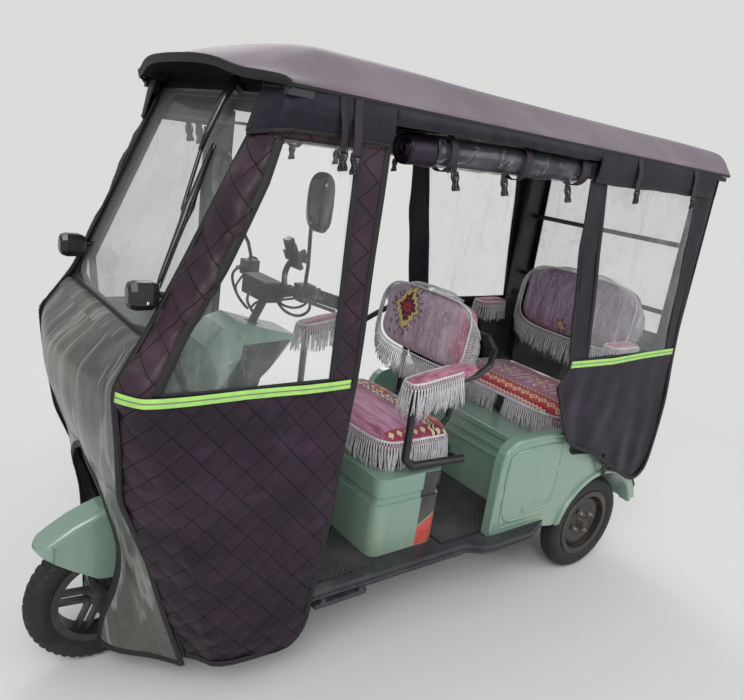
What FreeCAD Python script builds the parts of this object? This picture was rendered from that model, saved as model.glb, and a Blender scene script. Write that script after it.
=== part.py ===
import FreeCAD, Part
import math
import os
import re
from FreeCAD import Vector

os.makedirs("parts", exist_ok=True)
doc = FreeCAD.newDocument("auto_rickshaw")

# sizes, all in millimetres or degrees, with what each one is
# +X is the vehicle's left, -Y its front, +Z up, the ground is z = 0
SIZES = [
    ("front_axle_y", -1000, "front wheel centre, along the vehicle"),
    ("rear_axle_y", 880, "rear axle, along the vehicle"),
    ("tyre_radius", 211, "outer radius of all three tyres"),
    ("tyre_half_width", 40, "half the tyre section"),
    ("rim_bead_radius", 127, "radius of the rim barrel"),
    ("rim_flange_radius", 143, "radius of the rim flange"),
    ("rim_half_width", 31, "half width of the rim barrel"),
    ("wheel_inset", 60, "centre of a rear wheel inside the rear side panel's face"),
    ("rear_wheel_x", "=panel_x - wheel_inset", "centre of a rear wheel, sideways"),
    ("rake_angle", 26, "steering axis from the vertical, in degrees"),
    ("fork_offset", 25, "wheel centre ahead of the steering axis"),
    ("fork_leg_x", 72, "centre of a fork leg, sideways"),
    ("fork_leg_radius", 15, "fork leg radius"),
    ("stem_radius", 13, "steering stem radius"),
    ("stem_length", 1015, "steering stem end, along the axis from the wheel"),
    ("head_tube_low", 436, "lower end of the head tube, along the axis"),
    ("head_tube_high", 700, "upper end of the head tube, along the axis"),
    ("head_tube_radius", 27, "outer radius of the head tube"),
    ("bearing_gap", 0.08, "radial gap in plain bearings"),
    ("bar_radius", 11, "handlebar tube radius"),
    ("grip_x", 305, "end of the handlebar grip, sideways"),
    ("mirror_x", 300, "centre of a mirror, sideways"),
    ("mirror_y", -553, "centre of a mirror, along the vehicle"),
    ("mirror_z", 1450, "centre of a mirror, height"),
    ("seat_gap", 0.3, "gap between a piece and its seat"),
    ("floor_top", 320, "top of the floor"),
    ("floor_depth", 34, "depth of the floor edge"),
    ("floor_overhang", 38, "floor edge outside the bench box"),
    ("floor_half", "=bench_half + floor_overhang", "half width of the floor"),
    ("bow_depth", 48, "rear step bow outside the floor edge"),
    ("floor_bow", "=floor_half + bow_depth", "half width at the rear step bow"),
    ("floor_front_y", -705, "front end of the floor"),
    ("mat_depth", 6, "thickness of a rubber mat"),
    ("frame_rail_x", 225, "centre of a main frame rail, sideways"),
    ("frame_rail_width", 40, "width of a main frame rail"),
    ("frame_rail_depth", 32, "depth of a main frame rail"),
    ("frame_rail_end", 1150, "rear end of the main rails"),
    ("seat_box_half", 338, "half width of the driver's seat box"),
    ("seat_box_front", -243, "front of the driver's seat box"),
    ("seat_box_rear", 40, "rear of the driver's seat box"),
    ("seat_box_top", 600, "top of the driver's seat box"),
    ("seat_box_corner", 38, "corner radius of the seat box"),
    ("band_low", 505, "lower edge of the indented band"),
    ("band_high", 535, "upper edge of the indented band"),
    ("band_inset", 7, "depth of the indented band"),
    ("cushion_half", 290, "half width of the driver's cushion"),
    ("cushion_front", -215, "front of the driver's cushion"),
    ("cushion_rear", 130, "rear of the driver's cushion"),
    ("cushion_low", 640, "underside of the driver's cushion"),
    ("cushion_top", 728, "top of the driver's cushion"),
    ("back_half", 255, "half width of the driver's backrest"),
    ("back_low", 885, "lower edge of the driver's backrest"),
    ("back_high", 1145, "upper edge of the driver's backrest"),
    ("back_front_y", 108, "front of the driver's backrest at its foot"),
    ("back_depth", 66, "depth of the driver's backrest"),
    ("back_lean", 7, "lean of both backrests, in degrees"),
    ("arm_tube_x", 335, "driver's arm tube, sideways"),
    ("arm_tube_radius", 13, "driver's arm tube radius"),
    ("bench_front", 440, "front of the bench box"),
    ("bench_rear", 1140, "rear of the bench box"),
    ("bench_half", 372, "half width of the bench box"),
    ("wheel_room", 18, "gap between a rear tyre and the bench box"),
    ("bench_inner_half", "=rear_wheel_x - tyre_half_width - wheel_room", "half width of the bench box between the wheels"),
    ("bench_step", 470, "height above which the bench box is wide"),
    ("bench_top", 620, "top of the bench box"),
    ("bench_wall", 4, "wall of the bench box"),
    ("bench_margin", 22, "bench box edge outside the bench cushion"),
    ("bench_cushion_half", "=bench_half - bench_margin", "half width of the bench cushion"),
    ("bench_cushion_front", 578, "front of the bench cushion"),
    ("bench_cushion_rear", 1010, "rear of the bench cushion"),
    ("bench_cushion_top", 730, "top of the bench cushion"),
    ("bench_back_margin", 60, "bench box edge outside the bench backrest"),
    ("bench_back_half", "=bench_half - bench_back_margin", "half width of the bench backrest"),
    ("bench_back_low", 905, "lower edge of the bench backrest"),
    ("bench_back_high", 1208, "upper edge of the bench backrest"),
    ("bench_back_front", 985, "front of the bench backrest at its foot"),
    ("bench_back_depth", 78, "depth of the bench backrest"),
    ("panel_thick", 36, "thickness of the rear side panels"),
    ("panel_x", "=bench_half + panel_thick", "outer face of the rear side panels"),
    ("panel_front", 240, "front end of the rear side panels"),
    ("panel_low", 320.3, "lower edge of the rear side panels"),
    ("panel_high", 690, "upper edge of the rear side panels"),
    ("arch_radius", 244, "radius of the rear wheel arch"),
    ("flare_width", 20, "width of the arch flare"),
    ("flare_depth", 8, "arch flare proud of the panel"),
    ("flare_x", "=panel_x + flare_depth", "outer face of the arch flare"),
    ("roof_overhang", 14, "roof edge outside the side curtains"),
    ("roof_half", "=sheet_x + roof_overhang", "half width of the roof"),
    ("roof_front", -862, "front of the roof at its middle"),
    ("roof_corner", -785, "front corner of the roof"),
    ("roof_rear", 1150, "rear end of the roof"),
    ("roof_edge_front", 1722, "roof edge height at the front"),
    ("roof_edge_rear", 1690, "roof edge height at the rear"),
    ("roof_crest_x", 335, "crest between the roof's flank and top, sideways"),
    ("roof_lip", 15, "depth of the roof's edge lip"),
    ("roof_skin", 5, "thickness of the roof"),
    ("rail_height", 16, "height of a canopy rail"),
    ("rail_width", 20, "width of a canopy rail"),
    ("pillar_gap", 24, "rear pillar outside the bench box"),
    ("pillar_x", "=bench_half + pillar_gap", "inner face of a rear pillar"),
    ("pillar_width", 30, "rear pillar, sideways"),
    ("pillar_front", 1040, "front of a rear pillar"),
    ("pillar_depth", 100, "rear pillar, along the vehicle"),
    ("crossbar_z", 1395, "height of the rear crossbar"),
    ("screen_top_y", -735, "windshield top, along the vehicle"),
    ("screen_top_z", 1688, "windshield top, height"),
    ("screen_low_y", -988, "windshield foot, along the vehicle"),
    ("screen_low_z", 1125, "windshield foot, height"),
    ("screen_inset", 86, "side curtain outside the top of the glass"),
    ("screen_half_top", "=sheet_x - screen_inset", "half width of the glass at the top"),
    ("screen_taper", 22, "narrowing of half the glass towards its foot"),
    ("screen_half_low", "=screen_half_top - screen_taper", "half width of the glass at the foot"),
    ("screen_border", 22, "width of the windshield frame"),
    ("glass_thick", 5, "windshield glass"),
    ("sheet_clear", 30, "side curtains outside the arch flare"),
    ("sheet_x", "=flare_x + sheet_clear", "outer face of the side curtains"),
    ("sheet_thick", 4, "thickness of curtain and apron sheets"),
    ("back_sheet_inset", 16, "side curtains outside the edge of the back curtain"),
    ("back_sheet_half", "=sheet_x - back_sheet_inset", "half width of the back curtain"),
    ("window_gap", 0.6, "gap round a curtain window"),
    ("apron_gap", 3, "gap between the apron and the front curtain"),
    ("roll_radius", 45, "radius of a rolled curtain"),
    ("roll_inset", 64, "roof edge outside the centre of a rolled curtain"),
    ("roll_x", "=roof_half - roll_inset", "centre of a rolled curtain, sideways"),
    ("roll_z", 1616, "centre of a rolled curtain, height"),
    ("roll_front", -388, "front end of a rolled curtain"),
    ("roll_rear", 326, "rear end of a rolled curtain"),
    ("bumper_end", 1211, "rear end of the bumper tube"),
    ("bumper_radius", 12, "bumper tube radius"),
    ("bumper_z", 345, "bumper height"),
]

sheet = doc.addObject("Spreadsheet::Sheet", "Sizes")
for row, (alias, value, meaning) in enumerate(SIZES, start=1):
    sheet.set("A%d" % row, meaning)
    sheet.setAlias("B%d" % row, alias)
for row, (alias, value, meaning) in enumerate(SIZES, start=1):
    sheet.set("B%d" % row, str(value))
doc.recompute()
ALIASES = [row[0] for row in SIZES]


def size(alias):
    return float(sheet.get(alias))


def bound(text):
    def swap(found):
        word = found.group(0)
        if word in ALIASES:
            return "Sizes." + word
        return word
    return re.sub(r"[a-z_]+[a-z_0-9]*", swap, text)


def tie(thing, prop, text):
    thing.setExpression(prop, bound(text))


NODES = {}


def box(name, dims, corner):
    thing = doc.addObject("Part::Box", name)
    for prop, text in zip(("Length", "Width", "Height"), dims):
        tie(thing, prop, text)
    for axis, text in zip("xyz", corner):
        tie(thing, "Placement.Base." + axis, text)
    return thing


def drum(name, radius, height, base, along="z"):
    thing = doc.addObject("Part::Cylinder", name)
    tie(thing, "Radius", radius)
    tie(thing, "Height", height)
    if along == "x":
        thing.Placement.Rotation = FreeCAD.Rotation(Vector(0, 1, 0), 90)
    if along == "y":
        thing.Placement.Rotation = FreeCAD.Rotation(Vector(1, 0, 0), -90)
    for axis, text in zip("xyz", base):
        tie(thing, "Placement.Base." + axis, text)
    return thing


def join(name, things):
    result = doc.addObject("Part::MultiFuse", name)
    result.Shapes = things
    return result


def less(name, base, tool):
    result = doc.addObject("Part::Cut", name)
    result.Base = base
    result.Tool = tool
    return result


def node(label, thing):
    thing.Label = label
    NODES[label] = thing


def solid_node(label, shape, placement=None):
    thing = doc.addObject("Part::Feature", label)
    thing.Shape = shape
    thing.Placement = placement or FreeCAD.Placement()
    node(label, thing)


def fuse(shapes):
    shapes = list(shapes)
    if len(shapes) == 1:
        return shapes[0]
    return shapes[0].multiFuse(shapes[1:]).removeSplitter()


def mirrored(shape):
    return shape.mirror(Vector(0, 0, 0), Vector(1, 0, 0))


def both(shape):
    return Part.makeCompound([shape, mirrored(shape)])


def rod(points, radius):
    points = [Vector(*p) for p in points]
    pieces = []
    for a, b in zip(points, points[1:]):
        run = b.sub(a)
        pieces.append(Part.makeCylinder(radius, run.Length, a, run))
    for p in points[1:-1]:
        pieces.append(Part.makeSphere(radius, p))
    return fuse(pieces)


def block(x0, x1, y0, y1, z0, z1):
    return Part.makeBox(x1 - x0, y1 - y0, z1 - z0, Vector(x0, y0, z0))


def wire(points):
    points = [Vector(*p) for p in points]
    return Part.makePolygon(points + [points[0]])


def side_prism(points, x0, x1):
    # a (y, z) outline drawn along X
    face = Part.Face(wire([(x0, y, z) for y, z in points]))
    return face.extrude(Vector(x1 - x0, 0, 0))


def front_prism(points, y0, y1):
    # an (x, z) outline drawn along Y
    face = Part.Face(wire([(x, y0, z) for x, z in points]))
    return face.extrude(Vector(0, y1 - y0, 0))


def plan_prism(points, z0, z1):
    # an (x, y) outline drawn upwards
    face = Part.Face(wire([(x, y, z0) for x, y in points]))
    return face.extrude(Vector(0, 0, z1 - z0))


def loft(sections):
    return Part.makeLoft([wire(s) for s in sections], True, True)


def rounded(x0, x1, y0, y1, z0, z1, corner):
    body = block(x0, x1, y0, y1, z0, z1)
    edges = []
    for edge in body.Edges:
        a, b = edge.Vertexes[0].Point, edge.Vertexes[1].Point
        if abs(a.z - b.z) > 1:
            edges.append(edge)
    return body.makeFillet(corner, edges)


def softened(body, corner):
    return body.makeFillet(corner, body.Edges)


def turned(profile, x, y, z):
    # an (x, r) profile turned about the wheel's X axis
    face = Part.Face(wire([(a, r, 0) for a, r in profile]))
    body = face.revolve(Vector(0, 0, 0), Vector(1, 0, 0), 360)
    if body.Volume < 0:
        body.reverse()
    body.translate(Vector(x, y, z))
    return body


GAP = size("seat_gap")
FLOOR = size("floor_top")
FRONT_Y = size("front_axle_y")
REAR_Y = size("rear_axle_y")
WHEEL_Z = size("tyre_radius")

# the steering axis: ALONG runs up it, ACROSS points to the rear and down
RAKE = math.radians(size("rake_angle"))
ALONG = Vector(0, math.sin(RAKE), math.cos(RAKE))
ACROSS = Vector(0, math.cos(RAKE), -math.sin(RAKE))
WHEEL = Vector(0, FRONT_Y, WHEEL_Z)
AXIS_FOOT = WHEEL + ACROSS * size("fork_offset")


def on_axis(run, shift=0.0, x=0.0):
    return AXIS_FOOT + ALONG * run + ACROSS * shift + Vector(x, 0, 0)


# wheels

def tyre(label, x, y):
    ring = doc.addObject("Part::Torus", label + "_ring")
    tie(ring, "Radius1", "tyre_radius - tyre_half_width")
    tie(ring, "Radius2", "tyre_half_width")
    ring.Placement.Rotation = FreeCAD.Rotation(Vector(0, 1, 0), 90)
    for axis, text in zip("xyz", (x, y, "tyre_radius")):
        tie(ring, "Placement.Base." + axis, text)
    bead = drum(label + "_bead", "rim_flange_radius + 8", "2 * rim_half_width - 2.6",
                (x + " - rim_half_width + 1.3", y, "tyre_radius"), "x")
    hole = drum(label + "_hole", "rim_bead_radius + seat_gap", "4 * tyre_half_width",
                (x + " - 2 * tyre_half_width", y, "tyre_radius"), "x")
    node(label, less(label, join(label + "_both", [ring, bead]), hole))


def barrel(x, y):
    bead, flange, half = size("rim_bead_radius"), size("rim_flange_radius"), size("rim_half_width")
    return turned([(-half - 3, bead - 6), (half + 3, bead - 6), (half + 3, flange),
                   (half - 1, flange), (half - 1, bead), (-half + 1, bead),
                   (-half + 1, flange), (-half - 3, flange)], x, y, WHEEL_Z)


def front_rim():
    bore = 8 + size("bearing_gap")
    hub = Part.makeCylinder(30, 90, Vector(-45, FRONT_Y, WHEEL_Z), Vector(1, 0, 0))
    body = [barrel(0, FRONT_Y), hub]
    reach = size("rim_bead_radius") - 3
    for pair in range(5):
        for side in (-15, 15):
            spoke = Part.makeBox(24, 11, reach - 18, Vector(-12, side - 5.5, 18))
            spoke.rotate(Vector(0, 0, 0), Vector(1, 0, 0), 72 * pair + 12)
            spoke.translate(Vector(0, FRONT_Y, WHEEL_Z))
            body.append(spoke)
    hole = Part.makeCylinder(bore, 120, Vector(-60, FRONT_Y, WHEEL_Z), Vector(1, 0, 0))
    return fuse(body).cut(hole)


def rear_rim(side):
    x = side * size("rear_wheel_x")
    bead = size("rim_bead_radius")
    bore = 13 + size("bearing_gap")
    disc = [(side * a, r) for a, r in
            [(-12, bore), (24, bore), (24, 0.001), (40, 0.001), (40, 17), (30, 24), (22, 30),
             (16, 34), (10, 62), (16, 84), (16, 100), (4, bead - 4), (-2, bead - 4),
             (10, 98), (10, 86), (4, 60), (8, 30), (-12, 30)]]
    return fuse([barrel(x, REAR_Y), turned(disc, x, REAR_Y, WHEEL_Z)])


tyre("front_tyre", "0", "front_axle_y")
tyre("rear_tyre_left", "rear_wheel_x", "rear_axle_y")
tyre("rear_tyre_right", "-rear_wheel_x", "rear_axle_y")
solid_node("front_rim", front_rim())
solid_node("rear_rim_left", rear_rim(1))
solid_node("rear_rim_right", rear_rim(-1))


# fork, stem and front fender

def fork():
    leg_x, leg_r = size("fork_leg_x"), size("fork_leg_radius")
    pieces = []
    for side in (-1, 1):
        low = on_axis(-22, -size("fork_offset"), side * leg_x)
        pieces.append(Part.makeCylinder(leg_r, 250, low, ALONG))
        slim = on_axis(220, -size("fork_offset"), side * leg_x)
        pieces.append(Part.makeCylinder(leg_r - 3, 212, slim, ALONG))
    crown = Part.makeBox(2 * leg_x + 36, 74, 28, Vector(-leg_x - 18, -48, 400))
    crown.rotate(Vector(0, 0, 0), Vector(1, 0, 0), -size("rake_angle"))
    crown.translate(AXIS_FOOT)
    pieces.append(crown)
    run = size("stem_length") - 402
    pieces.append(Part.makeCylinder(size("stem_radius"), run, on_axis(402), ALONG))
    pieces.append(Part.makeCylinder(8, 2 * leg_x, Vector(-leg_x, FRONT_Y, WHEEL_Z), Vector(1, 0, 0)))
    return fuse(pieces)


# outline points are (back from the wheel centre, up from it)
FENDER_TOP = [(-180, 208), (-140, 238), (-85, 272), (-12, 303), (60, 312), (125, 290),
              (180, 245), (214, 190), (232, 120), (236, 50)]
FENDER_LOW = [(222, 48), (150, 70), (60, 74), (-16, 84), (-89, 131), (-182, 200)]


def crowned(body, top, half, radius):
    # round both long edges over the top outline
    def on_top(point):
        return any(abs(point.y - y) < 0.001 and abs(point.z - z) < 0.001 for y, z in top)
    edges = []
    for edge in body.Edges:
        a, b = edge.Vertexes[0].Point, edge.Vertexes[1].Point
        if abs(a.x - b.x) < 0.001 and abs(abs(a.x) - half) < 0.001 and on_top(a) and on_top(b):
            edges.append(edge)
    return body.makeFillet(radius, edges)


def fender():
    half = 52
    def outline(shrink):
        top = []
        for back, up in FENDER_TOP:
            far = math.hypot(back, up)
            scale = (far - shrink) / far
            top.append((FRONT_Y + back * scale, WHEEL_Z + up * scale))
        return top
    low = [(FRONT_Y + a, WHEEL_Z + b) for a, b in FENDER_LOW]
    shell = crowned(side_prism(outline(0) + low, -half, half), outline(0), half, 20)
    inner_low = [(FRONT_Y + a, WHEEL_Z + b - 60) for a, b in
                 [(228, 48), (150, 60), (60, 60), (-16, 60), (-120, 100), (-196, 180)]]
    hollow = side_prism(outline(3.5) + inner_low, -half + 3.5, half - 3.5)
    shell = shell.cut(crowned(hollow, outline(3.5), half - 3.5, 16.5))
    # the nose is round in plan
    nose, shoulder, rear = FRONT_Y - 182, FRONT_Y - 122, FRONT_Y + 250
    arc = Part.Arc(Vector(-half, shoulder, 0), Vector(0, nose, 0), Vector(half, shoulder, 0)).toShape()
    back = Part.makePolygon([Vector(half, shoulder, 0), Vector(half, rear, 0), Vector(-half, rear, 0),
                             Vector(-half, shoulder, 0)])
    shell = shell.common(Part.Face(Part.Wire([arc] + back.Edges)).extrude(Vector(0, 0, 700)))
    seat = [on_axis(400 - GAP, -44), on_axis(400 - GAP, -4)]
    foot = [(FRONT_Y + 150, WHEEL_Z + 266), (FRONT_Y + 112, WHEEL_Z + 292)]
    bracket = side_prism([(p.y, p.z) for p in seat] + foot, -24, 24)
    return fuse([shell, bracket])


solid_node("fork", fork())
solid_node("front_fender", fender())


# handlebar and mirrors

def handlebar():
    r, grip_x = size("bar_radius"), size("grip_x")
    start = size("stem_length") + GAP
    hub = on_axis(start + 16)
    pieces = [Part.makeCylinder(20, 32, on_axis(start), ALONG)]
    for side in (-1, 1):
        points = [(0, hub.y, hub.z), (side * 70, hub.y - 4, hub.z + 12), (side * 130, hub.y + 12, hub.z + 48),
                  (side * 190, hub.y + 40, hub.z + 52), (side * grip_x, hub.y + 105, hub.z + 40)]
        pieces.append(rod(points, r))
        a = Vector(side * 205, hub.y + 48.5, hub.z + 50.5)
        b = Vector(side * grip_x, hub.y + 105, hub.z + 40)
        pieces.append(Part.makeCylinder(r + 6, b.sub(a).Length + 4, a, b.sub(a)))
        pieces.append(block(min(side * 150, side * 200), max(side * 150, side * 200),
                            hub.y + 5, hub.y + 50, hub.z + 28, hub.z + 76))
        lever = [(side * 175, hub.y + 8, hub.z + 46), (side * 235, hub.y + 12, hub.z + 38),
                 (side * 300, hub.y + 55, hub.z + 28)]
        pieces.append(rod(lever, 5))
    pieces.append(block(-75, 75, hub.y - 45, hub.y + 15, hub.z - 4, hub.z + 56))
    return fuse(pieces)


def mirrors():
    hub = on_axis(size("stem_length") + GAP + 16)
    x, y, z = size("mirror_x"), size("mirror_y"), size("mirror_z")
    oval = Part.makeCylinder(48, 18, Vector(0, 0, 0), Vector(0, 1, 0))
    stretch = FreeCAD.Matrix()
    stretch.scale(0.9, 1, 1.55)
    oval = oval.transformGeometry(stretch)
    oval.translate(Vector(x, y - 9, z))
    stalk = rod([(175, hub.y + 28, hub.z + 76 + GAP), (175, hub.y + 28, hub.z + 92), (188, hub.y + 22, hub.z + 130),
                 (x - 46, y + 4, z - 76), (x - 12, y, z - 40)], 5.5)
    return both(fuse([oval, stalk]))


solid_node("handlebar", handlebar())
solid_node("mirrors", mirrors())


# chassis, axle, floor

def chassis():
    x, w, d = size("frame_rail_x"), size("frame_rail_width"), size("frame_rail_depth")
    top = FLOOR - size("floor_depth")
    end = size("frame_rail_end")
    front = size("floor_front_y") + 15
    pieces = []
    for side in (-1, 1):
        x0 = side * x - w / 2
        pieces.append(block(x0, x0 + w, front, end, top - d, top))
        x0 = side * (size("floor_half") - 34) - 12
        pieces.append(block(x0, x0 + 24, -560, size("panel_front") + 280, top - 24, top))
    wide = size("floor_half") - 22
    tail = size("frame_rail_end") - 38
    inner = size("bench_inner_half") - 5
    for y, reach in ((front, wide - 38), (-330, wide), (110, wide), (470, wide), (560, inner), (tail, inner)):
        pieces.append(block(-reach, reach, y, y + 36, top - 26, top))
    low, high = size("head_tube_low"), size("head_tube_high")
    tube = Part.makeCylinder(size("head_tube_radius"), high - low, on_axis(low), ALONG)
    foot_y = front + 18
    brace = on_axis(low + 40, 14)
    upper = on_axis(high - 60, 6)
    pieces.append(tube)
    pieces.append(rod([(0, brace.y, brace.z), (0, foot_y - 14, 470), (0, foot_y, top - 8)], 16))
    for side in (-1, 1):
        pieces.append(rod([(side * 10, upper.y, upper.z), (side * 50, foot_y - 44, 600),
                           (side * 60, foot_y, top - 8)], 11))
    body = fuse(pieces)
    bore = Part.makeCylinder(size("stem_radius") + size("bearing_gap"), high - low + 40,
                             on_axis(low - 20), ALONG)
    return body.cut(bore)


def rear_axle():
    x = size("rear_wheel_x")
    rail = size("frame_rail_x")
    under = FLOOR - size("floor_depth") - size("frame_rail_depth") - GAP
    tube = x - 86
    pieces = [Part.makeCylinder(24, 2 * tube, Vector(-tube, REAR_Y, WHEEL_Z), Vector(1, 0, 0)),
              Part.makeCylinder(13, 2 * (x + 22), Vector(-x - 22, REAR_Y, WHEEL_Z), Vector(1, 0, 0)),
              Part.makeCylinder(74, 150, Vector(-110, REAR_Y, WHEEL_Z), Vector(1, 0, 0)),
              Part.makeCylinder(52, 70, Vector(40, REAR_Y, WHEEL_Z), Vector(1, 0, 0))]
    for side in (-1, 1):
        pieces.append(Part.makeCylinder(70, 30, Vector(side * (x - 71) - 15, REAR_Y, WHEEL_Z), Vector(1, 0, 0)))
        spring = [(REAR_Y - 240, under), (REAR_Y - 240, under - 9), (REAR_Y, under - 18),
                  (REAR_Y + 232, under - 9), (REAR_Y + 232, under), (REAR_Y, under - 9)]
        x0 = side * rail - 20
        pieces.append(side_prism(spring, x0, x0 + 40))
        pieces.append(block(x0, x0 + 40, REAR_Y - 32, REAR_Y + 32, WHEEL_Z, under - 9))
    return fuse(pieces)


def floor_pan():
    half, bow, front = size("floor_half"), size("floor_bow"), size("floor_front_y")
    depth = size("floor_depth")
    rear_x = size("bench_half") - 30
    def outline(inset):
        h, b = half - inset, bow - inset
        right = [(h - 25, front), (h - 12, -560), (h, -500), (h, 118), (h + 12, 146),
                 (b - 8, 188), (b, 226), (b, 410), (b - 6, 446), (b - 24, 486), (h + 2, 540),
                 (rear_x, 540), (rear_x, size("bench_front") + 30)]
        left = [(-a, c) for a, c in right[::-1]]
        return right + left
    top = plan_prism(outline(0), FLOOR - 14, FLOOR)
    middle = plan_prism(outline(7), FLOOR - 25, FLOOR - 14)
    low = plan_prism(outline(2), FLOOR - depth, FLOOR - 25)
    pieces = [top, middle, low]
    for side in (-1, 1):
        a, b = sorted((side * (half - 18), side * (half + 7)))
        pieces.append(block(a, b, -492, -300, FLOOR - depth - 26, FLOOR - depth - 10))
        for y in (-470, -330):
            pieces.append(block(a, b, y, y + 16, FLOOR - depth - 12, FLOOR - depth + 2))
    # the frame's tubes come up through this notch
    notch = block(-80, 80, front - 1, front + 52, FLOOR - depth - 1, FLOOR + 1)
    return fuse(pieces).cut(notch)


solid_node("chassis_frame", chassis())
solid_node("rear_axle", rear_axle())
solid_node("floor_pan", floor_pan())

front_mat = box("front_mat", ("2 * bench_half", "seat_box_front - floor_front_y - 66", "mat_depth"),
                ("-bench_half", "floor_front_y + 56", "floor_top"))
rear_mat = box("rear_mat", ("2 * bench_half - 6", "bench_front - seat_box_rear - 12", "mat_depth"),
               ("3 - bench_half", "seat_box_rear + 6", "floor_top"))
node("floor_mats", join("floor_mats", [front_mat, rear_mat]))


# leg shield, its black insert and the head lamp
# cowl outlines are (y, z): the first is the middle's, the second the flank's
COWL_MIDDLE = [(-795, 650), (-800, 800), (-737, 992), (-690, 1050), (-640, 1066), (-545, 1040), (-448, 1018),
               (-474, 978), (-590, 925), (-625, 800), (-690, 648)]
COWL_FLANK = [(-770, 655), (-774, 790), (-728, 925), (-700, 962), (-672, 975), (-615, 966), (-560, 958),
              (-570, 935), (-618, 890), (-640, 790), (-690, 652)]


def leg_shield():
    middle, flank = COWL_MIDDLE, COWL_FLANK
    at = [(-138, flank), (-70, middle), (70, middle), (138, flank)]
    outer = loft([[(x, y, z) for y, z in line] for x, line in at])
    cy, cz = -690, 830
    def shrunk(line, factor):
        points = [(cy + (y - cy) * factor, cz + (z - cz) * factor) for y, z in line]
        points[0] = (points[0][0], 630)
        points[-1] = (points[-1][0] - 6, 630)
        return points
    at = [(-133, shrunk(flank, 0.95)), (-70, shrunk(middle, 0.96)),
          (70, shrunk(middle, 0.96)), (133, shrunk(flank, 0.95))]
    inner = loft([[(x, y, z) for y, z in line] for x, line in at])
    plate_y = -694
    wings = front_prism([(-345, FLOOR + GAP), (-345, 600), (-330, 690), (-285, 755), (-215, 790), (-138, 800),
                         (-138, 664), (138, 664), (138, 800), (215, 790), (285, 755), (330, 690), (345, 600),
                         (345, FLOOR + GAP)], plate_y, plate_y + 5)
    hole = Part.makeCylinder(24, 420, on_axis(720), ALONG)
    shell = outer.cut(inner).cut(hole)
    low_gap = block(-80, 80, plate_y - 2, plate_y + 8, FLOOR - 1, 560)
    return fuse([shell, wings.cut(low_gap)])


def dash_insert():
    g, h = COWL_MIDDLE[8], COWL_MIDDLE[9]
    points = [(g[0] + GAP, g[1]), (h[0] + GAP, h[1]), (h[0] + 24, h[1] - 4), (h[0] + 66, h[1] + 62),
              (g[0] + 46, g[1] - 8)]
    return side_prism(points, -68, 68)


def head_lamp():
    z = 728
    low, high = COWL_MIDDLE[0], COWL_MIDDLE[1]
    y = low[0] + (high[0] - low[0]) * (z + 44 - low[1]) / (high[1] - low[1]) - GAP
    cup = Part.makeCone(44, 62, 34, Vector(0, y, z), Vector(0, -1, 0))
    rim = Part.makeCylinder(64, 12, Vector(0, y - 34, z), Vector(0, -1, 0))
    lens = Part.makeSphere(110, Vector(0, y - 46 + 92, z))
    lens = lens.common(Part.makeCylinder(60, 40, Vector(0, y - 40, z), Vector(0, -1, 0)))
    return fuse([cup, rim, lens])


solid_node("leg_shield", leg_shield())
solid_node("dash_insert", dash_insert())
solid_node("head_lamp", head_lamp())


# driver's seat

def seat_box():
    half, front, rear = size("seat_box_half"), size("seat_box_front"), size("seat_box_rear")
    top, r = size("seat_box_top"), size("seat_box_corner")
    low, high, inset = size("band_low"), size("band_high"), size("band_inset")
    lower = rounded(-half, half, front, rear, FLOOR, low, r)
    band = rounded(-half + inset, half - inset, front + inset, rear - inset, low - 1, high + 1, r - inset)
    upper = rounded(-half, half, front, rear, high, top, r)
    skin = inset + 5
    room = rounded(-half + skin, half - skin, front + skin, rear - skin, FLOOR - 1, top - 5, r - skin)
    return fuse([lower, band, upper]).cut(room)


def seat_frame():
    x, r = size("arm_tube_x"), size("arm_tube_radius")
    top = size("seat_box_top")
    tray = block(-268, 268, -188, 118, top, size("cushion_low") - GAP)
    pieces = [tray]
    for side in (-1, 1):
        front = -152
        pieces.append(rod([(side * x, front, 884), (side * x, front, 664), (side * x, front + 30, 634),
                           (side * x, 112, 622)], r))
        pieces.append(rod([(side * x, front, 886.2), (side * x, 110, 925.2), (side * (x - 4), 165, 955),
                           (side * 300, 214, 995), (side * 262, 214, 1030), (side * 150, 208, 1030),
                           (side * 150, 196, 690), (side * 150, 150, 640), (side * 150, 106, 622)], 11))
        for y in (-90, 90):
            pieces.append(rod([(side * 260, y, 622), (side * x, y, 625)], 9))
    y = size("back_front_y") + size("back_depth") + GAP
    plate = block(-160, 160, y, y + 7, 940, 1080)
    plate.rotate(Vector(0, size("back_front_y"), size("back_low")), Vector(1, 0, 0), -size("back_lean"))
    pieces.append(plate)
    return fuse(pieces)


def leaning(foot_y, foot_z):
    turn = FreeCAD.Rotation(Vector(1, 0, 0), -size("back_lean"))
    return FreeCAD.Placement(Vector(), turn, Vector(0, foot_y, foot_z))


def backrest(half, low, high, front, depth, corner):
    body = block(-half, half, front, front + depth, low, high)
    edges = []
    for edge in body.Edges:
        a, b = edge.Vertexes[0].Point, edge.Vertexes[1].Point
        if abs(a.y - b.y) > 1:
            edges.append(edge)
    body = body.makeFillet(corner, edges)
    rims = [edge for edge in body.Edges if all(abs(v.Point.y - front) < 0.01 for v in edge.Vertexes)
            or all(abs(v.Point.y - front - depth) < 0.01 for v in edge.Vertexes)]
    return body.makeFillet(depth * 0.3, rims)


def arm_pads():
    x = size("arm_tube_x")
    driver = block(x - 34, x + 30, -182, 92, 898, 944)
    driver = softened(driver, 15)
    driver.rotate(Vector(x, -152, 898), Vector(1, 0, 0), 8.5)
    driver.translate(Vector(0, 0, 0))
    half = size("bench_half")
    bench = softened(block(half - 42, half + 24, 792, 958, 957 + GAP, 1004), 15)
    return Part.makeCompound([driver, mirrored(driver), bench, mirrored(bench)])


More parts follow.
